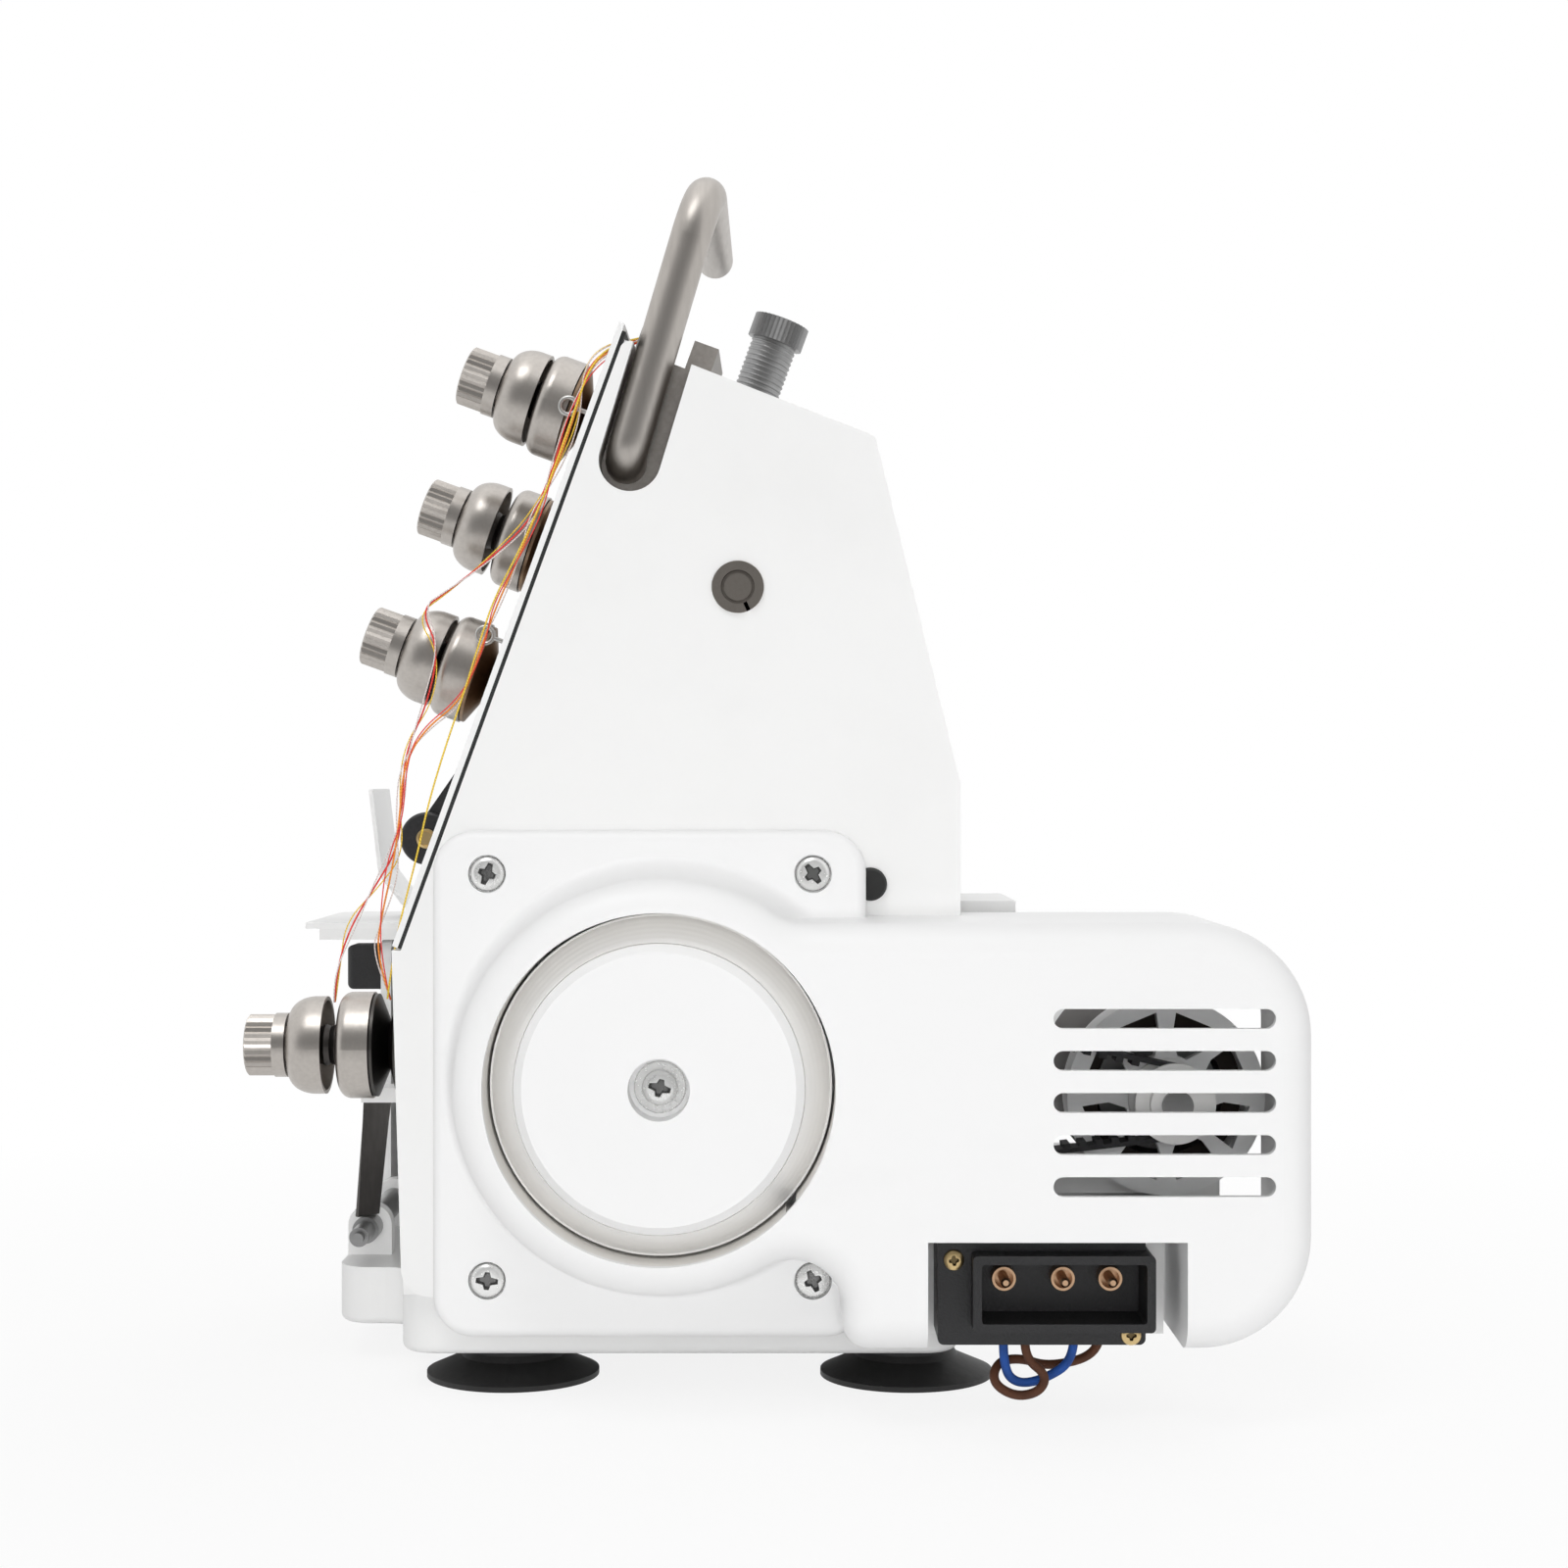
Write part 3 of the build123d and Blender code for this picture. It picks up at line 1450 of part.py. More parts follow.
needle = slanted_rod(needle_shank_radius, bar_x, needle_bar_depth, needle_top_drop, shank_end_drop)
needle += slanted_rod(needle_radius, bar_x, needle_bar_depth, shank_end_drop, needle_tip_drop)
parts["needle"] = needle

# Presser bar and foot
foot_sole_z = cloth_plate_top_z + foot_gap
presser_foot_drop = drop_at(foot_sole_z + foot_shank, presser_bar_depth)
parts["presser_bar"] = slanted_rod(
    presser_bar_radius, bar_x, presser_bar_depth, bar_top_drop, presser_foot_drop
)
sole_y = (needle_y - sole_front, needle_y + sole_rear)
needle_slot_y = (needle_y - needle_slot_half, needle_y + needle_slot_half)
shank_foot_drop = drop_at(foot_sole_z, presser_bar_depth) + foot_shank_radius
foot = slanted_rod(foot_shank_radius, bar_x, presser_bar_depth, presser_foot_drop, shank_foot_drop)
foot &= block(*sole_x, *sole_y, foot_sole_z, front_top_z)
foot += block(*sole_x, *sole_y, foot_sole_z, foot_sole_z + foot_sole)
foot -= block(
    bar_x - foot_slot_half,
    bar_x + foot_slot_half,
    *needle_slot_y,
    foot_sole_z,
    foot_sole_z + foot_sole,
)
parts["presser_foot"] = foot

# Lifter lever with its round knob
lifter_knob_z = cloth_plate_top_z + lifter_knob_rise
lever = outline(
    [
        (lifter_y - 4, lifter_z + 2),
        (lifter_knob_y - 4, lifter_knob_z + 2),
        (lifter_knob_y + 4, lifter_knob_z - 2),
        (lifter_y + 4, lifter_z - 2),
    ]
)
lever += Pos(lifter_y, lifter_z) * Circle(lifter_boss_radius)
lifter = from_side(lever, lifter_x - lifter_thickness, lifter_x)
knob_disc = rod_x(
    lifter_knob_radius, lifter_x - lifter_thickness - 2, lifter_x + 3, lifter_knob_y, lifter_knob_z
)
lifter += fillet(knob_disc.edges().filter_by(GeomType.CIRCLE), 1.2)
lifter += rod_x(lifter_pin_radius, lifter_x, casing_left_x - 1.5, lifter_y, lifter_z)
parts["lifter_lever"] = lifter


# Pressure screw over the presser bar
pressure_plane = Plane(
    origin=(bar_x, *beside_front(pressure_head_drop + pressure_head_height, -presser_bar_depth)),
    x_dir=(1, 0, 0),
    z_dir=(0, tilt_sin, tilt_cos),
)
pressure_points = []
pressure_ribs = 36
for i in range(2 * pressure_ribs):
    radius = pressure_head_radius - (i % 2) * knurl_depth
    angle = math.pi * i / pressure_ribs
    pressure_points.append((radius * math.cos(angle), radius * math.sin(angle)))
pressure_stem_foot_drop = 4.0
stem_length = pressure_stem_foot_drop - pressure_head_drop - pressure_head_height
pressure = extrude(outline(pressure_points), pressure_head_height)
pressure += Pos(0, 0, -stem_length / 2) * Cylinder(pressure_stem_radius, stem_length)
parts["pressure_screw"] = pressure_plane * pressure

parts["face_cover"] = from_side(outline(head_points), head_left_x - face_cover_thickness, head_left_x)

# Cloth plate, needle plate let into it, and the bent finger guard on top
plate_right_x = casing_left_x - moving_clearance
cloth = block(
    cloth_plate_left_x,
    plate_right_x,
    cloth_plate_front_y,
    cloth_plate_rear_y,
    deck_top_z,
    cloth_plate_top_z,
)
cloth = fillet(cloth.edges().filter_by(Axis.Z).sort_by(Axis.X)[:2], 10.0)
plate_gap = 0.2
cloth -= block(
    needle_plate_left_x - plate_gap,
    plate_right_x,
    needle_plate_front_y - plate_gap,
    needle_plate_rear_y + plate_gap,
    deck_top_z,
    cloth_plate_top_z,
)
parts["cloth_plate"] = cloth

feed_row_x = (
    (feed_bar_x[0], feed_bar_x[0] + feed_row_width),
    (feed_bar_x[1] - feed_row_width, feed_bar_x[1]),
)
feed_front_y = needle_slot_y[1] - 1.0
feed_rear_y = feed_front_y + feed_rows * feed_tooth
slot_gap = 0.6
needle_plate = block(
    needle_plate_left_x,
    plate_right_x,
    needle_plate_front_y,
    needle_plate_rear_y,
    deck_top_z,
    cloth_plate_top_z,
)
needle_plate -= block(
    bar_x - needle_slot_width / 2,
    bar_x + needle_slot_width / 2,
    needle_slot_y[0],
    needle_slot_y[1] - needle_slot_width,
    deck_top_z,
    cloth_plate_top_z,
)
for x0, x1 in feed_row_x:
    needle_plate -= block(
        x0 - slot_gap,
        x1 + slot_gap,
        feed_front_y - feed_travel - slot_gap,
        feed_rear_y + feed_travel + slot_gap,
        deck_top_z,
        cloth_plate_top_z,
    )
needle_plate -= block(
    knife_x[0] - slot_gap,
    knife_x[1] + slot_gap,
    knife_y[0] - slot_gap,
    knife_y[1] + slot_gap,
    deck_top_z,
    cloth_plate_top_z,
)
parts["needle_plate"] = needle_plate

guard_foot_y = needle_y - guard_reach
guard_middle_z = cloth_plate_top_z + guard_sheet / 2
guard_path = FilletPolyline(
    (guard_foot_y, guard_middle_z),
    (guard_foot_y - guard_foot, guard_middle_z),
    (guard_foot_y - guard_toe, guard_middle_z + guard_toe_rise),
    (guard_foot_y - guard_shin, guard_middle_z + guard_shin_rise),
    (guard_foot_y - guard_lean, cloth_plate_top_z + guard_height),
    radius=guard_bend,
)
parts["finger_guard"] = from_side(trace(guard_path, guard_sheet), *guard_x)

# Feed dog: a bar through the cross wall with two toothed rows
feed_top_z = cloth_plate_top_z + feed_stand
feed_root_z = feed_top_z - 0.4 * feed_tooth
feed = block(*feed_bar_x, feed_front_y - feed_tooth, cross_wall_y + feed_bar_tail, *feed_bar_z)
tooth_points = [(feed_front_y, feed_bar_z[1] - 1), (feed_front_y, feed_root_z)]
for i in range(feed_rows):
    tooth_y = feed_front_y + i * feed_tooth
    tooth_points.append((tooth_y + feed_tooth * 0.8, feed_top_z))
    tooth_points.append((tooth_y + feed_tooth, feed_root_z))
tooth_points.append((feed_rear_y, feed_bar_z[1] - 1))
for x0, x1 in feed_row_x:
    feed += from_side(outline(tooth_points), x0, x1)
parts["feed_dog"] = feed

# Trimming knife: a bar in its guide with a blade beside the needle plate's edge
knife = block(*knife_x, *knife_y, knife_guide_z[0] - knife_drop - 3, deck_z - knife_rise - 1)
blade_middle_x = (knife_x[0] + knife_x[1]) / 2
blade_foot_z = deck_z - knife_rise - 2
knife_edge_z = cloth_plate_top_z + knife_stand
blade = outline(
    [
        (knife_y[0], blade_foot_z),
        (knife_y[0], knife_edge_z - 3),
        (knife_y[1] - 1, knife_edge_z),
        (knife_y[1], blade_foot_z),
    ]
)
knife += from_side(blade, blade_middle_x - 0.8, blade_middle_x + 0.8)
parts["trimming_knife"] = knife

# Loopers: rocking shafts with curved arms in planes one behind the other
looper_hub_radius = looper_shaft_radius + 4.0
looper_reach = deck_z - looper_headroom - looper_shaft_z


def looper(shaft_x, front_y, side):
    """Looper on its shaft; side is the way its point reaches, minus one for the left."""
    shaft = rod(
        looper_shaft_radius,
        (shaft_x, front_y, looper_shaft_z),
        (shaft_x, bed_rear_y - part_clearance, looper_shaft_z),
    )
    arm = outline(
        [
            (-5 * side, 0),
            (5 * side, 0),
            (3 * side, looper_reach - 8),
            (looper_sweep * side, looper_reach),
            (-3 * side, looper_reach - 2),
        ]
    )
    arm += Circle(looper_hub_radius)
    back = (shaft_x, front_y + looper_arm_thickness, looper_shaft_z)
    plane = Plane(origin=back, x_dir=(1, 0, 0), z_dir=(0, -1, 0))
    return shaft + extrude(plane * arm, looper_arm_thickness)


upper_looper_y = cover_plate_y + cover_plate_thickness + looper_cover_gap
lower_looper_y = upper_looper_y + looper_arm_thickness + looper_gap
parts["upper_looper"] = looper(upper_looper_x, upper_looper_y, 1)
parts["lower_looper"] = looper(lower_looper_x, lower_looper_y, -1)

# Looper cover on its hinge rod, with the black latch on its front
cover_back_y = cover_plate_y + cover_plate_thickness
looper_cover_top_z = deck_z - moving_clearance
knuckle_radius = 4.5
looper_cover = block(
    looper_cover_left_x, looper_cover_right_x, cover_plate_y, cover_back_y, hinge_z, looper_cover_top_z
)
looper_cover = fillet(looper_cover.edges().filter_by(Axis.Y).sort_by(Axis.Z)[-2:], 5.0)
knuckle_left_x = lug_places[2] + lug_width + moving_clearance
looper_cover += rod_x(knuckle_radius, knuckle_left_x, looper_cover_right_x, hinge_y, hinge_z)
looper_cover -= rod_x(
    hinge_rod_radius + running_clearance, looper_cover_left_x, looper_cover_right_x, hinge_y, hinge_z
)
looper_cover -= block(
    looper_cover_left_x,
    knuckle_left_x,
    cover_plate_y,
    cover_back_y,
    hinge_z,
    hinge_z + lug_half + 2,
)
parts["looper_cover"] = looper_cover

latch_x = (looper_cover_right_x - 10.0, looper_cover_right_x)
latch_top_z = looper_cover_top_z - 1.5
latch = block(*latch_x, cover_plate_y - latch_depth, cover_plate_y, latch_top_z - latch_height, latch_top_z)
parts["cover_latch"] = fillet(latch.faces().sort_by(Axis.Y)[0].edges(), 2.0)

rod_end_x = looper_cover_left_x + lug_width - 1.0
parts["hinge_rod"] = turned_x(
    [
        (rod_end_x, 0),
        (rod_end_x, hinge_rod_radius),
        (hinge_tube_end_x, hinge_rod_radius),
        (hinge_tube_end_x, hinge_tube_radius),
        (hinge_sleeve_x, hinge_tube_radius),
        (hinge_sleeve_x, hinge_sleeve_radius),
        (hinge_end_x - 2.5, hinge_sleeve_radius),
        (hinge_end_x - 2.5, hinge_pin_radius),
        (hinge_end_x, hinge_pin_radius),
        (hinge_end_x, 0),
    ],
    hinge_y,
    hinge_z,
)
strip_x = (spring_bracket_x[0] + spring_bracket_x[1]) / 2
strip_width = 7.5
strip_thickness = 1.2
strip_top = Plane(origin=(strip_x, spring_bracket_y + strip_width / 2, spring_bracket_z[0]))
strip_foot = Plane(origin=(strip_x, hinge_y, hinge_z + hinge_tube_radius)).rotated((0, 0, 50))
strip = Rectangle(strip_thickness, strip_width)
parts["cover_spring"] = loft([strip_top * strip, strip_foot * strip])

# Thread guides: a tab over the panel's top edge and two wire eyelets on the panel
tab_x = (14.0, 36.0)
tab_sheet = 1.2
tab_top_drop = -6.5
tab_foot_drop = 6.0
tab = from_side(
    outline(
        [
            beside_front(tab_top_drop, -part_clearance),
            beside_front(tab_top_drop, -part_clearance - tab_sheet),
            beside_front(tab_foot_drop, -part_clearance - tab_sheet),
            beside_front(tab_foot_drop, -part_clearance),
        ]
    ),
    *tab_x,
)
tab -= from_side(outline(profile), casing_left_x, casing_right_x)
eyelet_radius = 2.2
eyelet_wire = 0.6
eyelet_out = 10.5
eyelet_stand = 1.9
eyelet_low_drop = 84.8
eyelet_places = (
    (tension_x[0] + disc_radius + eyelet_stand, tension_drop[0]),
    (tension_x[2] + disc_radius, eyelet_low_drop),
)
guides = [tab]
for x, drop in eyelet_places:
    stem = rod(
        eyelet_wire,
        (x, *beside_front(drop, panel_out)),
        (x, *beside_front(drop, eyelet_out - eyelet_radius)),
    )
    loop = Plane(origin=(x, *beside_front(drop, eyelet_out)), z_dir=(1, 0, 0)) * Torus(
        eyelet_radius, eyelet_wire
    )
    guides.append(stem + loop)
parts["thread_guides"] = Compound(children=guides)


def cord(name, points, radius):
    """Round cord of straight runs with tangent arcs; prints the bend radii."""
    corners = [Vector(*point) for point in points]
    radii = []
    for before, at, after in zip(corners, corners[1:], corners[2:]):
        inward, onward = at - before, after - at
        half_turn = math.radians(inward.get_angle(onward)) / 2
        radii.append(round(0.45 * min(inward.length, onward.length) / math.tan(half_turn), 3))
    length = sum((end - start).length for start, end in zip(corners, corners[1:]))
    print(name, "length", round(length, 1), "radii", radii)
    path = FilletPolyline(*corners, radius=radii)
    section = Plane(origin=corners[0], z_dir=corners[1] - corners[0]) * Circle(radius)
    return sweep(section, path=path)


# Routes as seen in the picture: three threads past the tension units, two wires under the inlet
tab_y, tab_z = beside_front(-4.0, 0.0)
thread_red_route = [
    (26.0, tab_y, tab_z),
    (33.0, -37.5, 271.2),
    (41.0, -44.4, 264.5),
    (41.0, -48.0, 251.5),
    (41.0, -53.4, 238.1),
    (41.0, -58.5, 224.5),
    (41.0, -69.5, 214.0),
    (41.0, -82.0, 204.5),
    (41.0, -88.3, 200.2),
    (41.0, -83.4, 190.2),
    (41.0, -86.5, 175.5),
    (41.0, -92.3, 163.0),
    (41.0, -93.0, 150.0),
    (41.0, -94.2, 137.6),
    (41.0, -100.1, 127.9),
    (41.0, -106.5, 117.5),
    (41.5, -110.2, 106.0),
    (42.5, -110.5, 97.5),
]
thread_orange_route = [
    (23.0, tab_y, tab_z),
    (32.0, -37.2, 271.0),
    (43.0, -44.2, 263.6),
    (43.0, -47.8, 250.5),
    (43.0, -52.6, 237.0),
    (43.0, -57.5, 225.5),
    (43.0, -62.5, 213.5),
    (43.0, -68.0, 201.5),
    (43.0, -72.2, 190.0),
    (43.0, -77.0, 176.5),
    (43.0, -87.5, 168.5),
    (43.0, -92.6, 158.5),
    (43.0, -93.4, 146.0),
    (43.0, -95.2, 133.0),
    (43.0, -98.2, 120.0),
    (43.0, -99.6, 109.5),
    (42.5, -95.8, 98.2),
]
thread_yellow_route = [
    (29.0, tab_y, tab_z),
    (34.0, -37.8, 271.4),
    (45.0, -43.5, 263.8),
    (45.0, -47.5, 252.0),
    (45.0, -51.7, 240.0),
    (45.0, -56.2, 228.0),
    (45.0, -62.0, 215.4),
    (45.0, -68.5, 203.0),
    (45.0, -72.2, 192.0),
    (45.0, -76.5, 178.0),
    (45.0, -81.5, 163.5),
    (45.0, -85.8, 149.0),
    (45.0, -88.6, 136.0),
    (45.0, -91.6, 124.5),
    (45.0, -94.6, 112.0),
    (44.5, -96.4, 98.6),
]
wire_brown_route = [
    (86.0, 66.0, inlet_bottom_z),
    (86.0, 66.0, 14.0),
    (86.0, 71.5, 9.8),
    (86.0, 69.5, 5.6),
    (85.5, 63.5, 4.4),
    (85.0, 58.0, 7.8),
    (82.0, 59.5, 12.3),
    (79.0, 65.5, 12.6),
    (77.0, 73.0, 9.8),
    (76.0, 85.5, 12.8),
    (76.0, 85.5, inlet_bottom_z),
]
wire_blue_route = [
    (81.0, 78.5, inlet_bottom_z),
    (81.0, 78.5, 12.2),
    (82.0, 70.8, 7.8),
    (84.0, 64.3, 7.2),
    (85.0, 60.8, 11.0),
    (85.0, 60.8, inlet_bottom_z),
]
parts["thread_red"] = cord("thread_red", thread_red_route, thread_radius)
parts["thread_orange"] = cord("thread_orange", thread_orange_route, thread_radius)
parts["thread_yellow"] = cord("thread_yellow", thread_yellow_route, thread_radius)
parts["wire_brown"] = cord("wire_brown", wire_brown_route, wire_radius)
parts["wire_blue"] = cord("wire_blue", wire_blue_route, wire_radius)

for name, part in parts.items():
    export_step(part, f"parts/{name}.step")
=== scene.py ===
import math

import bmesh
import bpy
from mathutils import Matrix, Vector


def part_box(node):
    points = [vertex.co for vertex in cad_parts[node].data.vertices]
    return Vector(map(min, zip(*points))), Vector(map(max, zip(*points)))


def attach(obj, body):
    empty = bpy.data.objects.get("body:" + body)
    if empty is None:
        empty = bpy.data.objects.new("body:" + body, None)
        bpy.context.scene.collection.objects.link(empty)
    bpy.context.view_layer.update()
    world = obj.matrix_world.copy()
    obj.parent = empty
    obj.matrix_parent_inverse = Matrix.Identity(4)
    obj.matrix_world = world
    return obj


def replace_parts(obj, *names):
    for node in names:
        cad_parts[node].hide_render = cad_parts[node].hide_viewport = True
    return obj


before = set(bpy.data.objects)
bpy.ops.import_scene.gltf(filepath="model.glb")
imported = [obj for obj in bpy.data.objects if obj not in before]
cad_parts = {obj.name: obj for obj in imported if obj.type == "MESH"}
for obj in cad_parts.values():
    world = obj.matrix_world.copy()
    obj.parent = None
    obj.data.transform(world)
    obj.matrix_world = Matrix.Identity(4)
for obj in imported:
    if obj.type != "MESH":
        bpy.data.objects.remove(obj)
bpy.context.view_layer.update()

bl_info = {
    "name": "Overlock Machine",
    "version": (1, 0, 0),
    "blender": (4, 5, 0),
    "location": "View3D > Sidebar > Overlock",
    "description": "Finishes, threads, wires, handwheel, screws and studio for an overlock machine",
    "category": "Object",
}

MM = 0.001
RIGHT = (1, 0, 0)
SHAFT_Y = -22.7
SHAFT_Z = 82.0
FRONT_TILT = math.radians(20)
FRONT_TOP = Vector((0, -32.6, 269.8))
SLANT_DOWN = Vector((0, -math.sin(FRONT_TILT), -math.cos(FRONT_TILT)))
SLANT_OUT = Vector((0, -math.cos(FRONT_TILT), math.sin(FRONT_TILT)))
# Height of a screw head whose radius is one.
HEAD_HEIGHT = 0.52


def colour(label, words, value):
    """Colour property with a name and a description."""
    return bpy.props.FloatVectorProperty(
        name=label, description=words, default=value, min=0, max=1, size=3, subtype="COLOR"
    )


def length(label, words, millimetres):
    """Length property, given in millimetres."""
    return bpy.props.FloatProperty(
        name=label, description=words, default=millimetres * MM, min=0, unit="LENGTH", precision=4
    )


class MachineColours(bpy.types.PropertyGroup):
    """Colours that a user would change."""

    enamel: colour("Enamel", "White of the painted casting and sheets", (0.88, 0.88, 0.875))
    moulding: colour("Moulding", "White of the belt cover and the handwheel", (0.9, 0.9, 0.9))
    # The band's lighter white is painted light that offsets the shade in the wheel's well.
    band: colour("Band", "White of the handwheel's sloped band", (0.96, 0.953, 0.94))
    nickel: colour("Nickel", "Warm grey of the tension units and the handle", (0.52, 0.488, 0.455))
    brass: colour("Brass", "Inlet screws and the lifter's centre", (0.72, 0.54, 0.27))
    pins: colour("Pins", "Reddish brass of the inlet's pins", (0.66, 0.43, 0.27))
    brown_wire: colour("Brown wire", "Insulation of the first wire", (0.085, 0.03, 0.013))
    blue_wire: colour("Blue wire", "Insulation of the second wire", (0.016, 0.075, 0.32))
    red_thread: colour("Red thread", "First sewing thread", (0.78, 0.06, 0.05))
    orange_thread: colour("Orange thread", "Second sewing thread", (0.95, 0.3, 0.05))
    yellow_thread: colour("Yellow thread", "Third sewing thread", (0.93, 0.6, 0.06))
    white_thread: colour("White thread", "Fourth sewing thread", (0.74, 0.66, 0.64))


class MachineSizes(bpy.types.PropertyGroup):
    """Sizes of the pieces that dress the machine."""

    thread: length("Thread", "Diameter of a sewing thread", 0.5)
    wire: length("Wire", "Diameter of a wire under the inlet", 2.3)
    cover_screw: length("Cover screw", "Head radius of the belt cover's screws", 4.38)
    wheel_band: length("Wheel band", "Width of the handwheel's sloped band", 6.7)
    wheel_depth: length("Wheel depth", "How far the band's outer edge lies behind the wheel's face", 12.0)
    wheel_recess: length("Wheel recess", "Radius of the recess for the handwheel's screw", 7.4)
    wheel_sink: length("Wheel sink", "Depth of that recess", 8.0)
    wheel_gap: length("Wheel gap", "Gap between the handwheel's rim and the wall round it", 0.7)
    wheel_screw: length("Wheel screw", "Head radius of the handwheel's screw", 4.3)
    wheel_washer: length("Wheel washer", "Radius of the washer under the handwheel's screw", 6.3)
    inlet_screw: length("Inlet screw", "Head radius of the inlet's screws", 2.5)
    plug: length("Plug", "Radius of the rubber plug in the side plate", 4.2)
    thread_pitch: length("Thread pitch", "Rise of the pressure screw's thread for each turn", 1.5)


class StudioSettings(bpy.types.PropertyGroup):
    """Camera and light."""

    lens: bpy.props.FloatProperty(
        name="Lens", description="Focal length in millimetres", default=60.1, min=1
    )
    distance: length("Distance", "Camera's place to the right of the machine", 727.0)
    side: length("Side", "Camera's place behind the machine's middle", 7.0)
    height: length("Height", "Camera's height over the table", 154.6)
    lamp: bpy.props.FloatProperty(
        name="Lamp", description="Power in watts that each lamp has its share of", default=3.0, min=0
    )


class Term:
    """A shader value that takes part in plain arithmetic."""

    def __init__(self, finish, socket):
        self.finish = finish
        self.socket = socket

    def join(self, operation, first, second):
        """Math node on two values."""
        made = self.finish.node("ShaderNodeMath", {"operation": operation}, {0: first, 1: second})
        return Term(self.finish, made.outputs[0])

    def __add__(self, other):
        return self.join("ADD", self, other)

    def __radd__(self, other):
        return self.join("ADD", other, self)

    def __sub__(self, other):
        return self.join("SUBTRACT", self, other)

    def __rsub__(self, other):
        return self.join("SUBTRACT", other, self)

    def __mul__(self, other):
        return self.join("MULTIPLY", self, other)

    def __rmul__(self, other):
        return self.join("MULTIPLY", other, self)

    def __pow__(self, other):
        return self.join("POWER", self, other)

    def sine(self):
        """Sine of the value."""
        return self.join("SINE", self, 0.0)


class Finish:
    """One procedural material being built."""

    def __init__(self, name):
        self.material = bpy.data.materials.new(name)
        self.material.use_nodes = True
        self.tree = self.material.node_tree
        self.surface = self.tree.nodes["Principled BSDF"]
        self.place = self.node("ShaderNodeTexCoord").outputs["Object"]

    def node(self, kind, settings=None, sockets=None):
        """Node of that kind with its settings, then its sockets' values or links."""
        made = self.tree.nodes.new(kind)
        for key, value in (settings or {}).items():
            if key == "stops":
                self.fill_ramp(made.color_ramp, value)
            else:
                setattr(made, key, value)
        for key, value in (sockets or {}).items():
            self.feed(made.inputs[key], value)
        return made

    def feed(self, socket, value):
        """Link a term or socket, or set a plain value."""
        if isinstance(value, Term):
            value = value.socket
        if isinstance(value, bpy.types.NodeSocket):
            self.tree.links.new(value, socket)
        else:
            socket.default_value = value

    @staticmethod
    def fill_ramp(ramp, stops):
        """Grey stops of a colour ramp."""
        while len(ramp.elements) < len(stops):
            ramp.elements.new(1)
        for element, (position, grey) in zip(ramp.elements, stops):
            element.position = position
            element.color = (grey, grey, grey, 1)

    def noise(self, scale, detail=3.0, stretch=(1, 1, 1)):
        """Noise over the object's own coordinates."""
        mapped = self.node("ShaderNodeMapping", None, {"Vector": self.place, "Scale": stretch})
        made = self.node(
            "ShaderNodeTexNoise", None, {"Vector": mapped.outputs[0], "Scale": scale, "Detail": detail}
        )
        return Term(self, made.outputs[0])

    def axes(self):
        """The object's coordinates as three values."""
        parted = self.node("ShaderNodeSeparateXYZ", None, {0: self.place})
        return [Term(self, output) for output in parted.outputs]

    def attribute(self, name):
        """Value stored on the mesh, or zero where it has none."""
        return Term(self, self.node("ShaderNodeAttribute", {"attribute_name": name}).outputs["Fac"])

    def ramp(self, value, *stops):
        """Value through a grey ramp."""
        return Term(self, self.node("ShaderNodeValToRGB", {"stops": stops}, {0: value}).outputs[0])

    def mix(self, factor, first, second):
        """Colour between two colours."""
        settings = {"data_type": "RGBA"}
        sockets = {0: factor, 6: solid(first), 7: solid(second)}
        return self.node("ShaderNodeMix", settings, sockets).outputs[2]

    def bump(self, height, strength, distance):
        """Raise the surface by a value."""
        sockets = {"Height": height, "Strength": strength, "Distance": distance}
        made = self.node("ShaderNodeBump", None, sockets)
        self.feed(self.surface.inputs["Normal"], made.outputs[0])

    def set(self, **values):
        """Inputs of the surface, with underscores for spaces."""
        for key, value in values.items():
            self.feed(self.surface.inputs[key.replace("_", " ")], value)
        return self.material


def solid(value):
    """Colour with its alpha, or a socket as it is."""
    return value if isinstance(value, bpy.types.NodeSocket) else (*value[:3], 1.0)


def shade(value, factor):
    """Colour made darker or lighter."""
    return tuple(min(1.0, channel * factor) for channel in value[:3])


def enamel_finish(name, base):
    """Stoved enamel with a faint orange peel and a little handling dirt."""
    finish = Finish(name)
    cloud = finish.noise(9.0)
    dirt = finish.ramp(finish.noise(38.0, 6.0), (0.52, 0.0), (0.78, 1.0))
    tone = finish.mix(cloud, base, shade(base, 0.975))
    tone = finish.mix(dirt * 0.1, tone, shade(base, 0.8))
    finish.bump(finish.noise(620.0, 1.0), 0.05, 0.0004)
    return finish.set(Base_Color=tone, Roughness=0.34 + cloud * 0.14, Coat_Weight=0.15)


def moulding_finish(name, base, rough=0.38):
    """Moulded plastic with a fine even grain and soft scuffs."""
    finish = Finish(name)
    cloud = finish.noise(12.0)
    scuff = finish.ramp(finish.noise(60.0, 8.0, (1, 0.25, 1)), (0.58, 0.0), (0.72, 1.0))
    tone = finish.mix(cloud, base, shade(base, 0.985))
    tone = finish.mix(scuff * 0.06, tone, shade(base, 0.82))
    finish.bump(finish.noise(1500.0, 2.0), 0.04, 0.0002)
    return finish.set(Base_Color=tone, Roughness=rough + cloud * 0.1 + scuff * 0.08)


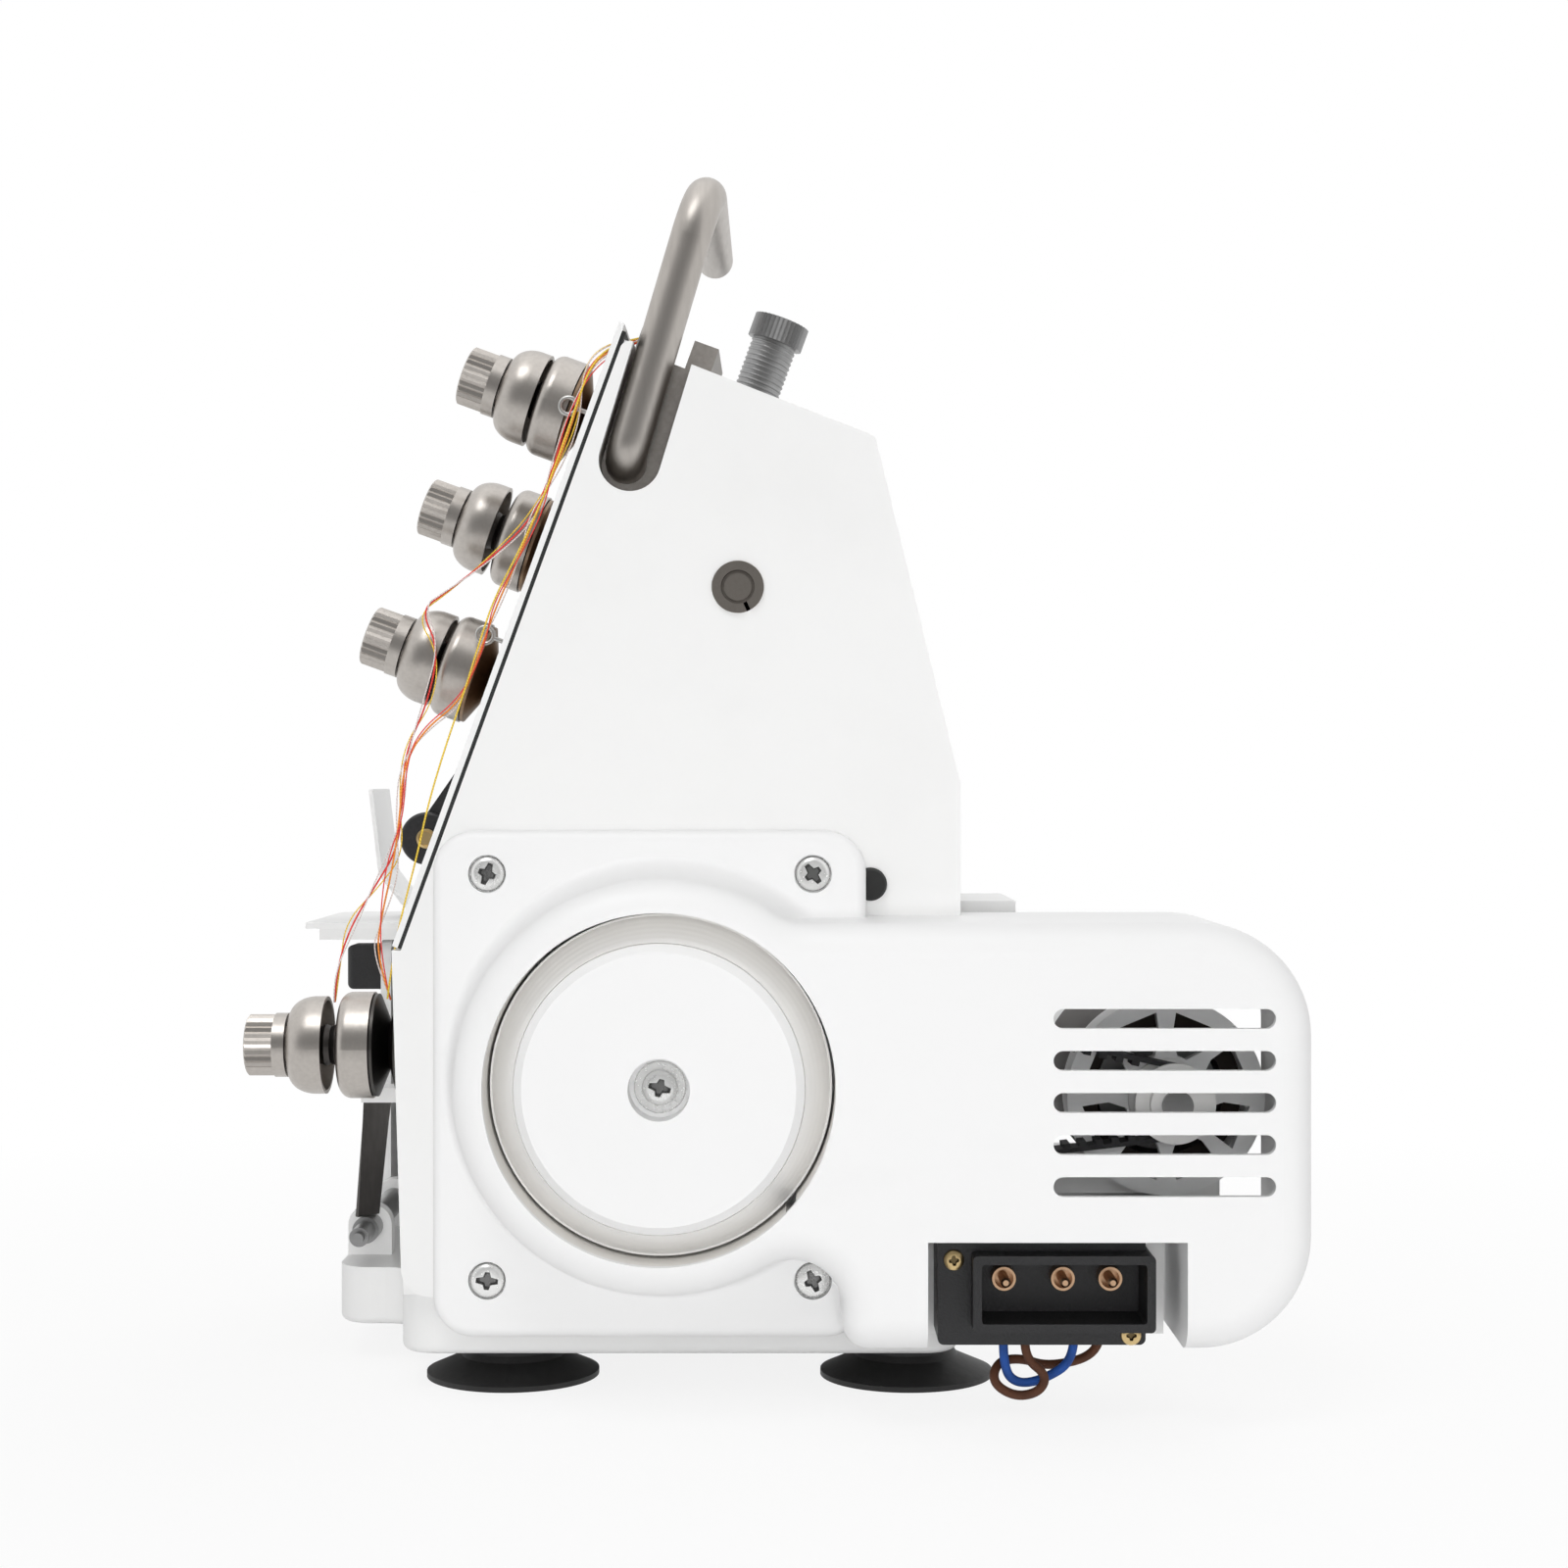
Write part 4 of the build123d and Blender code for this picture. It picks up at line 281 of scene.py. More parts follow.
def wheel_finish(name, base, band):
    """White face with a finely ridged band round it, by the distance from the shaft."""
    finish = Finish(name)
    disc_end = 34.55 * MM
    band_start = 34.75 * MM
    ramp_scale = 10.0
    ridges = 6000.0
    _, y, z = finish.axes()
    away = ((y - SHAFT_Y * MM) ** 2.0 + (z - SHAFT_Z * MM) ** 2.0) ** 0.5
    ring = finish.ramp(away * ramp_scale, (disc_end * ramp_scale, 0.0), (band_start * ramp_scale, 1.0))
    cloud = finish.noise(14.0)
    tone = finish.mix(cloud, base, shade(base, 0.985))
    # The band gets a lighter white than the face: painted light against the shade of its well.
    tone = finish.mix(ring, tone, finish.mix(cloud, band, shade(band, 0.95)))
    finish.bump((away * ridges).sine() * ring, 0.12, 0.0001)
    return finish.set(Base_Color=tone, Roughness=0.4 - ring * 0.08 + cloud * 0.08)


def metal_finish(name, base, rough, grain=(1, 1, 1), depth=0.1, metallic=1.0):
    """Plated or machined metal with grain along one way, worn patches and painted shade where it is sunk."""
    finish = Finish(name)
    lines = finish.noise(900.0, 4.0, grain)
    patch = finish.noise(45.0, 5.0)
    tone = finish.mix(lines, shade(base, 1.08), shade(base, 0.86))
    tone = finish.mix(finish.ramp(patch, (0.6, 0.0), (0.8, 0.6)), tone, shade(base, 0.72))
    # Faces marked as recess turn near black: painted shade in the sunk cross.
    tone = finish.mix(finish.attribute("recess") * 0.85, tone, shade(base, 0.1))
    finish.bump(lines, depth, 0.0002)
    return finish.set(Base_Color=tone, Metallic=metallic, Roughness=rough + lines * 0.12 + patch * 0.08)


def dull_finish(name, base, rough, scale, depth):
    """Rubber or grained plastic."""
    finish = Finish(name)
    grain = finish.noise(scale, 3.0)
    dust = finish.ramp(finish.noise(30.0, 6.0), (0.5, 0.0), (0.8, 1.0))
    tone = finish.mix(grain, base, shade(base, 1.7))
    tone = finish.mix(dust * 0.05, tone, (0.16, 0.155, 0.15))
    finish.bump(grain, depth, 0.0006)
    return finish.set(Base_Color=tone, Roughness=rough + dust * 0.15)


def disc_finish(name, upper, lower):
    """Plated tension discs in painted shade: brown with a painted reflection of the orange threads, and dark
    for the lowest unit.
    """
    finish = Finish(name)
    dark_end = 104.0 * MM
    plated_start = 108.0 * MM
    ramp_scale = 5.0
    _, _, z = finish.axes()
    low = finish.ramp(z * ramp_scale, (dark_end * ramp_scale, 1.0), (plated_start * ramp_scale, 0.0))
    lines = finish.noise(900.0, 4.0)
    tone = finish.mix(lines, shade(upper, 1.1), shade(upper, 0.8))
    tone = finish.mix(low, tone, lower)
    finish.bump(lines, 0.08, 0.0002)
    return finish.set(Base_Color=tone, Metallic=1.0, Roughness=0.3 + lines * 0.15)


def core_finish(name):
    """Stack of thin lacquered sheets along the motor, one to the millimetre."""
    finish = Finish(name)
    waves = 6283.0
    x, _, _ = finish.axes()
    sheets = finish.ramp((x * waves).sine() * 0.5 + 0.5, (0.3, 0.0), (0.7, 1.0))
    stain = finish.noise(60.0, 5.0)
    tone = finish.mix(sheets, (0.02, 0.019, 0.018), (0.06, 0.056, 0.052))
    tone = finish.mix(stain * 0.4, tone, (0.06, 0.035, 0.02))
    finish.bump(sheets, 0.4, 0.0003)
    return finish.set(Base_Color=tone, Metallic=0.7, Roughness=0.45 + stain * 0.2)


def strand_finish(name, base, ply):
    """Spun thread or insulation with a slanting twist."""
    finish = Finish(name)
    x, y, z = finish.axes()
    twist = ((x * 0.6 + y * 0.8 + z) * ply).sine() * 0.5 + 0.5
    fuzz = finish.noise(2500.0, 3.0)
    tone = finish.mix(twist, shade(base, 0.78), shade(base, 1.15))
    tone = finish.mix(fuzz * 0.3, tone, shade(base, 1.4))
    finish.bump(twist, 0.3, 0.0001)
    return finish.set(Base_Color=tone, Roughness=0.6 + fuzz * 0.2)


def make_finishes(colours):
    """All finishes of the machine, by name."""
    nickel = tuple(colours.nickel)
    return {
        "casting": enamel_finish("casting_enamel", tuple(colours.enamel)),
        "sheet": enamel_finish("sheet_enamel", shade(tuple(colours.enamel), 1.02)),
        "cover": moulding_finish("cover_moulding", tuple(colours.moulding)),
        "nylon": moulding_finish("nylon", (0.88, 0.875, 0.86), 0.5),
        "guard": moulding_finish("guard_moulding", (0.92, 0.92, 0.915), 0.3),
        "wheel": wheel_finish("wheel_moulding", tuple(colours.moulding), tuple(colours.band)),
        # The well's wall is the cover's moulding in a darker warm grey: painted shade.
        "well": moulding_finish("well_shaded_moulding", (0.83, 0.81, 0.775), 0.45),
        "nickel": metal_finish("satin_nickel", nickel, 0.26, (1, 1, 1), 0.06),
        "handle": metal_finish("brushed_handle", shade(nickel, 0.96), 0.3, (0.15, 1, 0.15), 0.1),
        "pocket": dull_finish("pocket_paint", (0.2, 0.185, 0.17), 0.45, 700.0, 0.1),
        "bronze": metal_finish("browned_steel", (0.34, 0.31, 0.28), 0.32, (1, 1, 1), 0.1),
        # The discs' brown and near black are painted shade, the brown with a painted reflection of the
        # threads.
        "discs": disc_finish("disc_plate_painted_shade", (0.3, 0.21, 0.14), (0.08, 0.076, 0.072)),
        "guides": metal_finish("guide_wire", (0.62, 0.62, 0.6), 0.24, (1, 1, 1), 0.08),
        "bright": metal_finish("bright_plate", (0.74, 0.74, 0.73), 0.14, (1, 1, 1), 0.04),
        "zinc": metal_finish("zinc_plate", (0.86, 0.86, 0.85), 0.16, (1, 1, 1), 0.02, 0.65),
        "steel": metal_finish("machined_steel", (0.36, 0.36, 0.36), 0.3, (1, 0.2, 1), 0.1),
        "blued": metal_finish("blued_steel", (0.11, 0.104, 0.1), 0.36, (1, 1, 0.3), 0.12),
        "brass": metal_finish("brass", tuple(colours.brass), 0.22, (1, 1, 1), 0.06),
        "pins": metal_finish("red_brass", tuple(colours.pins), 0.2, (1, 1, 1), 0.05),
        "rubber": dull_finish("rubber", (0.012, 0.012, 0.012), 0.55, 420.0, 0.15),
        "black": dull_finish("grained_black", (0.013, 0.013, 0.014), 0.42, 1400.0, 0.25),
        "belt": dull_finish("belt_rubber", (0.02, 0.02, 0.021), 0.6, 900.0, 0.2),
        "core": core_finish("lacquered_core"),
        "brown": strand_finish("brown_insulation", tuple(colours.brown_wire), 900.0),
        "blue": strand_finish("blue_insulation", tuple(colours.blue_wire), 900.0),
        "red": strand_finish("red_thread", tuple(colours.red_thread), 7000.0),
        "orange": strand_finish("orange_thread", tuple(colours.orange_thread), 7000.0),
        "yellow": strand_finish("yellow_thread", tuple(colours.yellow_thread), 7000.0),
        "white": strand_finish("white_thread", tuple(colours.white_thread), 7000.0),
    }


FINISHES = {}
NODE_FINISHES = {
    "casting": ("base_plate", "body_frame", "motor_bracket"),
    "sheet": ("right_side_plate", "front_panel", "face_cover", "cloth_plate", "looper_cover"),
    "cover": ("belt_cover", "motor_end_frames"),
    "wheel": ("handwheel",),
    "nylon": ("motor_pulley",),
    "guard": ("finger_guard",),
    "nickel": (
        "tension_drums",
        *(f"tension_{kind}_{unit}" for kind in ("dome", "knob") for unit in range(1, 5)),
    ),
    "guides": ("thread_guides",),
    "handle": ("carry_handle",),
    "pocket": ("handle_pocket",),
    "bright": ("needle", "presser_foot", "needle_plate"),
    "zinc": ("belt_cover_screws", "handwheel_screw"),
    "steel": (
        "main_shaft",
        "armature",
        "pressure_screw",
        "needle_bar",
        "presser_bar",
        "hinge_rod",
        "upper_looper",
        "lower_looper",
        "trimming_knife",
        "feed_dog",
    ),
    "bronze": ("needle_drive_shaft", "shaft_retaining_ring"),
    "discs": ("tension_discs",),
    "blued": ("cover_spring", "tension_studs", "tension_springs"),
    "pins": ("inlet_pins",),
    "rubber": ("suction_feet", "panel_gasket"),
    "black": ("inlet_block", "lifter_lever", "cover_latch", "belt_pulley"),
    "belt": ("drive_belt",),
    "core": ("motor_field_core",),
}


def link_piece(name, mesh, body, finish):
    """Object at the origin that rides on a body."""
    mesh.materials.clear()
    mesh.materials.append(FINISHES[finish])
    piece = bpy.data.objects.new(name, mesh)
    bpy.context.scene.collection.objects.link(piece)
    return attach(piece, body)


def finished_mesh(bm, name, smooth_angle=40.0):
    """Mesh from a bmesh, smooth except at sharp edges."""
    bmesh.ops.recalc_face_normals(bm, faces=bm.faces)
    limit = math.radians(smooth_angle)
    for edge in bm.edges:
        edge.smooth = len(edge.link_faces) == 2 and edge.calc_face_angle() < limit
    for face in bm.faces:
        face.smooth = True
    mesh = bpy.data.meshes.new(name)
    bm.to_mesh(mesh)
    bm.free()
    return mesh


def on_axis(origin, direction):
    """Matrix that puts a piece's Z along a direction, at a point in millimetres."""
    turn = Vector(direction).to_track_quat("Z", "Y").to_matrix().to_4x4()
    return Matrix.Translation(Vector(origin) * MM) @ turn


def beside_front(x, drop, out):
    """Point beside the slanted front, in millimetres."""
    point = FRONT_TOP + SLANT_DOWN * drop + SLANT_OUT * out
    return Vector((x, point.y, point.z))


def point_ring(bm, radius, height, steps):
    """Ring of points about Z."""
    angles = [math.tau * i / steps for i in range(steps)]
    return [bm.verts.new((radius * math.cos(angle), radius * math.sin(angle), height)) for angle in angles]


def turned_mesh(name, profile, place, steps=48):
    """Turned mesh from radius and height points in millimetres; it closes on the axis at both ends."""
    bm = bmesh.new()
    rings = []
    for radius, height in profile:
        if radius == 0:
            rings.append([bm.verts.new((0, 0, height * MM))])
        else:
            rings.append(point_ring(bm, radius * MM, height * MM, steps))
    for low, high in zip(rings, rings[1:]):
        for i in range(steps):
            j = i + 1
            corners = (low[i % len(low)], low[j % len(low)], high[j % len(high)], high[i % len(high)])
            bm.faces.new(list(dict.fromkeys(corners)))
    mesh = finished_mesh(bm, name)
    mesh.transform(place)
    return mesh


def round_wall_mesh(name, radii, ends, start, sweep, place, steps=160):
    """Round wall with a gap in it, from its radii and its ends on the axis in millimetres."""
    bm = bmesh.new()
    inner, outer = radii
    back, front = ends
    rings = []
    for i in range(steps + 1):
        angle = math.radians(start + sweep * i / steps)
        ring = []
        for radius, height in ((inner, back), (inner, front), (outer, front), (outer, back)):
            corner = Vector((radius * math.cos(angle), radius * math.sin(angle), height))
            ring.append(bm.verts.new(corner * MM))
        rings.append(ring)
    for near, far in zip(rings, rings[1:]):
        for i in range(4):
            j = (i + 1) % 4
            bm.faces.new((near[i], near[j], far[j], far[i]))
    bm.faces.new(rings[0])
    bm.faces.new(reversed(rings[-1]))
    mesh = finished_mesh(bm, name)
    mesh.transform(place)
    return mesh


def screw_head_mesh(name, kind):
    """Screw head of radius one along Z, with a cross sunk in it, or a cross and a slot for both."""
    bm = bmesh.new()
    # Faces of the cross recess are marked here for the painted shade that the metal finishes put in them.
    sunk = bm.faces.layers.float.new("recess")
    steps = 40
    profile = ((1.0, 0.0), (1.0, 0.22), (0.94, 0.36), (0.8, 0.47), (0.66, HEAD_HEIGHT))
    loops = [point_ring(bm, radius, height, steps) for radius, height in profile]
    for low, high in zip(loops, loops[1:]):
        for i in range(steps):
            j = (i + 1) % steps
            bm.faces.new((low[i], low[j], high[j], high[i]))
    half = 0.15
    cross_reach = 0.5
    slot_reach = 0.63
    taper = 0.72
    floor_height = 0.14
    recess = []
    for quarter in range(4):
        reach = slot_reach if kind == "both" and quarter % 2 else cross_reach
        turn = Matrix.Rotation(quarter * math.pi / 2, 2)
        for corner in ((half * 1.5, half * 1.5), (half * 0.9, reach), (-half * 0.9, reach)):
            recess.append(turn @ Vector(corner))
    mouth = [bm.verts.new((x, y, HEAD_HEIGHT)) for x, y in recess]
    floor = [bm.verts.new((x * taper, y * taper, floor_height)) for x, y in recess]
    count = len(mouth)
    rim = [bm.edges.get((loops[-1][i], loops[-1][(i + 1) % steps])) for i in range(steps)]
    lip = [bm.edges.new((mouth[i], mouth[(i + 1) % count])) for i in range(count)]
    bmesh.ops.triangle_fill(bm, use_beauty=True, use_dissolve=False, edges=rim + lip)
    for i in range(count):
        j = (i + 1) % count
        bm.faces.new((mouth[i], mouth[j], floor[j], floor[i]))[sunk] = 1.0
    base = [bm.edges.get((floor[i], floor[(i + 1) % count])) for i in range(count)]
    filled = bmesh.ops.triangle_fill(bm, use_beauty=True, use_dissolve=False, edges=base)
    for item in filled["geom"]:
        if isinstance(item, bmesh.types.BMFace):
            item[sunk] = 1.0
    bm.faces.new(reversed(loops[0]))
    return finished_mesh(bm, name, 25.0)


def node_tree(name, inputs):
    """Geometry tree with named inputs and one geometry output."""
    tree = bpy.data.node_groups.new(name, "GeometryNodeTree")
    tree.interface.new_socket("Geometry", in_out="INPUT", socket_type="NodeSocketGeometry")
    for label, kind in inputs:
        tree.interface.new_socket(label, in_out="INPUT", socket_type=kind)
    tree.interface.new_socket("Geometry", in_out="OUTPUT", socket_type="NodeSocketGeometry")
    return tree, tree.nodes.new("NodeGroupInput"), tree.nodes.new("NodeGroupOutput")


def close_tree(tree, last, finish, end):
    """Realize what was made and give it its finish."""
    real = tree.nodes.new("GeometryNodeRealizeInstances")
    paint = tree.nodes.new("GeometryNodeSetMaterial")
    tree.links.new(last, real.inputs[0])
    tree.links.new(real.outputs[0], paint.inputs["Geometry"])
    tree.links.new(finish, paint.inputs["Material"])
    tree.links.new(paint.outputs[0], end.inputs[0])


def scatter_tree():
    """Tree that puts one copy of a head on every point, each turned by its own amount."""
    tree, start, end = node_tree(
        "head_on_points",
        (
            ("Head", "NodeSocketObject"),
            ("Radius", "NodeSocketFloat"),
            ("Direction", "NodeSocketVector"),
            ("Seed", "NodeSocketInt"),
            ("Finish", "NodeSocketMaterial"),
        ),
    )
    head = tree.nodes.new("GeometryNodeObjectInfo")
    aim = tree.nodes.new("FunctionNodeAlignRotationToVector")
    aim.axis = "Z"
    chance = tree.nodes.new("FunctionNodeRandomValue")
    chance.data_type = "FLOAT"
    chance.inputs["Max"].default_value = math.tau
    spin = tree.nodes.new("FunctionNodeAxisAngleToRotation")
    turned = tree.nodes.new("FunctionNodeRotateRotation")
    turned.rotation_space = "LOCAL"
    copies = tree.nodes.new("GeometryNodeInstanceOnPoints")
    link = tree.links.new
    link(start.outputs["Head"], head.inputs["Object"])
    link(start.outputs["Direction"], aim.inputs["Vector"])
    link(start.outputs["Seed"], chance.inputs["Seed"])
    link(chance.outputs["Value"], spin.inputs["Angle"])
    link(aim.outputs[0], turned.inputs[0])
    link(spin.outputs[0], turned.inputs[1])
    link(start.outputs["Geometry"], copies.inputs["Points"])
    link(head.outputs["Geometry"], copies.inputs["Instance"])
    link(turned.outputs[0], copies.inputs["Rotation"])
    link(start.outputs["Radius"], copies.inputs["Scale"])
    close_tree(tree, copies.outputs[0], start.outputs["Finish"], end)
    return tree


def helix_tree():
    """Tree that winds a round ridge about Z, for a screw thread."""
    tree, start, end = node_tree(
        "thread_ridge",
        (
            ("Turns", "NodeSocketFloat"),
            ("Pitch", "NodeSocketFloat"),
            ("Radius", "NodeSocketFloat"),
            ("Ridge", "NodeSocketFloat"),
            ("Finish", "NodeSocketMaterial"),
        ),
    )
    rise = tree.nodes.new("ShaderNodeMath")
    rise.operation = "MULTIPLY"
    spiral = tree.nodes.new("GeometryNodeCurveSpiral")
    spiral.inputs["Resolution"].default_value = 32
    ridge = tree.nodes.new("GeometryNodeCurvePrimitiveCircle")
    ridge.inputs["Resolution"].default_value = 6
    wound = tree.nodes.new("GeometryNodeCurveToMesh")
    wound.inputs["Fill Caps"].default_value = True
    link = tree.links.new
    link(start.outputs["Turns"], rise.inputs[0])
    link(start.outputs["Pitch"], rise.inputs[1])
    link(start.outputs["Turns"], spiral.inputs["Rotations"])
    link(start.outputs["Radius"], spiral.inputs["Start Radius"])
    link(start.outputs["Radius"], spiral.inputs["End Radius"])
    link(rise.outputs[0], spiral.inputs["Height"])
    link(start.outputs["Ridge"], ridge.inputs["Radius"])
    link(spiral.outputs[0], wound.inputs["Curve"])
    link(ridge.outputs[0], wound.inputs["Profile Curve"])
    close_tree(tree, wound.outputs[0], start.outputs["Finish"], end)
    return tree


def grown_mesh(name, tree, values, points=((0, 0, 0),)):
    """Plain mesh of what a tree makes from points in millimetres."""
    seed_mesh = bpy.data.meshes.new(name + "_points")
    seed_mesh.from_pydata([Vector(point) * MM for point in points], [], [])
    holder = bpy.data.objects.new(name + "_points", seed_mesh)
    bpy.context.scene.collection.objects.link(holder)
    modifier = holder.modifiers.new(name, "NODES")
    modifier.node_group = tree
    for item in tree.interface.items_tree:
        if item.in_out == "INPUT" and item.name in values:
            modifier[item.identifier] = values[item.name]
    bpy.context.view_layer.update()
    grown = holder.evaluated_get(bpy.context.evaluated_depsgraph_get())
    mesh = bpy.data.meshes.new_from_object(grown)
    mesh.name = name
    holder.modifiers.remove(modifier)
    bpy.data.objects.remove(holder)
    bpy.data.meshes.remove(seed_mesh)
    return mesh


def screw_set(name, body, kind, places, direction, radius, finish):
    """Screws of one size at several places on one body."""
    head = bpy.data.objects.new(name + "_head", screw_head_mesh(name + "_head", kind))
    bpy.context.scene.collection.objects.link(head)
    values = {
        "Head": head,
        "Radius": radius,
        "Direction": direction,
        "Seed": len(places) + 3,
        "Finish": FINISHES[finish],
    }
    mesh = grown_mesh(name, scatter_tree(), values, places)
    bpy.data.objects.remove(head)
    return link_piece(name, mesh, body, finish)


def cord_piece(name, node, route, diameter, finish):
    """Smooth cord through the route's points, in place of its plain solid where it has one."""
    curve = bpy.data.curves.new(name, "CURVE")
    curve.dimensions = "3D"
    curve.bevel_depth = diameter / 2
    curve.bevel_resolution = 3
    curve.resolution_u = 8
    curve.use_fill_caps = True
    line = curve.splines.new("NURBS")
    line.points.add(len(route) - 1)
    for point, place in zip(line.points, route):
        point.co = (*(Vector(place) * MM), 1)
    line.order_u = 3
    line.use_endpoint_u = True
    curve.materials.append(FINISHES[finish])
    piece = bpy.data.objects.new(name, curve)
    bpy.context.scene.collection.objects.link(piece)
    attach(piece, "machine")
    if node:
        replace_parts(piece, node)


THREAD_START = beside_front(0.0, -4.0, 0.0)
RED_ROUTE = (
    (26.0, THREAD_START.y, THREAD_START.z),
    (33.0, -37.5, 271.2),
    (41.0, -44.4, 264.5),
    (41.0, -48.0, 251.5),
    (41.0, -53.4, 238.1),
    (41.0, -58.5, 224.5),
    (41.0, -69.5, 214.0),
    (41.0, -82.0, 204.5),
    (41.0, -88.3, 200.2),
    (41.0, -83.4, 190.2),
    (41.0, -86.5, 175.5),
    (41.0, -92.3, 163.0),
    (41.0, -93.0, 150.0),
    (41.0, -94.2, 137.6),
    (41.0, -100.1, 127.9),
    (41.0, -106.5, 117.5),
    (41.5, -110.2, 106.0),
    (42.5, -110.5, 97.5),
)
ORANGE_ROUTE = (
    (23.0, THREAD_START.y, THREAD_START.z),
    (32.0, -37.2, 271.0),
    (43.0, -44.2, 263.6),
    (43.0, -47.8, 250.5),
    (43.0, -52.6, 237.0),
    (43.0, -57.5, 225.5),
    (43.0, -62.5, 213.5),
    (43.0, -68.0, 201.5),
    (43.0, -72.2, 190.0),
    (43.0, -77.0, 176.5),
    (43.0, -87.5, 168.5),
    (43.0, -92.6, 158.5),
    (43.0, -93.4, 146.0),
    (43.0, -95.2, 133.0),
    (43.0, -98.2, 120.0),
    (43.0, -99.6, 109.5),
    (42.5, -95.8, 98.2),
)
YELLOW_ROUTE = (
    (29.0, THREAD_START.y, THREAD_START.z),
    (34.0, -37.8, 271.4),
    (45.0, -43.5, 263.8),
    (45.0, -47.5, 252.0),
    (45.0, -51.7, 240.0),
    (45.0, -56.2, 228.0),
    (45.0, -62.0, 215.4),
    (45.0, -68.5, 203.0),
    (45.0, -72.2, 192.0),
    (45.0, -76.5, 178.0),
    (45.0, -81.5, 163.5),
    (45.0, -85.8, 149.0),
    (45.0, -88.6, 136.0),
    (45.0, -91.6, 124.5),
    (45.0, -94.6, 112.0),
    (44.5, -96.4, 98.6),
)


def strand_route(route, across, sway):
    """Route of a strand that leaves another one's ends, runs beside it and crosses it again and again."""
    turn_y = 1.9
    turn_z = 1.3
    moved = []
    for i, (x, y, z) in enumerate(route):
        swing = sway * min(1.0, i, len(route) - 1 - i)
        moved.append((x + across, y + swing * math.cos(turn_y * i), z + swing * math.sin(turn_z * i)))
    return moved


THREADS = {"red": RED_ROUTE, "orange": ORANGE_ROUTE, "yellow": YELLOW_ROUTE}
# The route that each strand keeps to, its shift across and its sway in millimetres, and its finish.
STRANDS = {
    "sewing_strand_white": (ORANGE_ROUTE, -1.0, 1.9, "white"),
    "sewing_strand_red": (ORANGE_ROUTE, 1.0, -1.6, "red"),
    "sewing_strand_yellow": (RED_ROUTE, -1.2, 1.6, "yellow"),
    "sewing_strand_pale": (RED_ROUTE, 1.0, -1.3, "white"),
}
BROWN_ROUTE = (
    (86.0, 66.0, 18.1),
    (86.0, 66.0, 14.0),
    (86.0, 71.5, 9.8),
    (86.0, 69.5, 5.6),
    (85.5, 63.5, 4.4),
    (85.0, 58.0, 7.8),
    (82.0, 59.5, 12.3),
    (79.0, 65.5, 12.6),
    (77.0, 73.0, 9.8),
    (76.0, 85.5, 12.8),
    (76.0, 85.5, 18.1),
)
BLUE_ROUTE = (
    (81.0, 78.5, 18.1),
    (81.0, 78.5, 12.2),
    (82.0, 70.8, 7.8),
    (84.0, 64.3, 7.2),
    (85.0, 60.8, 11.0),
    (85.0, 60.8, 18.1),
)
WIRES = {"brown": BROWN_ROUTE, "blue": BLUE_ROUTE}


class OVERLOCK_OT_finishes(bpy.types.Operator):
    """Make the finishes and give the machine's solids theirs; the cords get theirs when they are laid."""

    bl_idname = "overlock.finishes"
    bl_label = "Finishes"

    def execute(self, context):
        FINISHES.update(make_finishes(context.scene.overlock_colours))
        for finish, nodes in NODE_FINISHES.items():
            for node in nodes:
                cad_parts[node].material_slots[0].material = FINISHES[finish]
        return {"FINISHED"}


class OVERLOCK_OT_threads(bpy.types.Operator):
    """Lay the sewing threads past the tension units, with the strands beside them."""

    bl_idname = "overlock.threads"
    bl_label = "Sewing threads"

    def execute(self, context):
        size = context.scene.overlock_sizes.thread
        finer = size * 0.7
        for hue, route in THREADS.items():
            cord_piece(f"sewing_thread_{hue}", f"thread_{hue}", route, size, hue)
        for name, (route, across, sway, finish) in STRANDS.items():
            beside = strand_route(route, across, sway)
            cord_piece(name, None, beside, finer, finish)
        return {"FINISHED"}


class OVERLOCK_OT_wires(bpy.types.Operator):
    """Lay the two insulated wires under the mains inlet."""

    bl_idname = "overlock.wires"
    bl_label = "Inlet wires"

    def execute(self, context):
        size = context.scene.overlock_sizes.wire
        for hue, route in WIRES.items():
            cord_piece(f"inlet_wire_{hue}", f"wire_{hue}", route, size, hue)
        return {"FINISHED"}


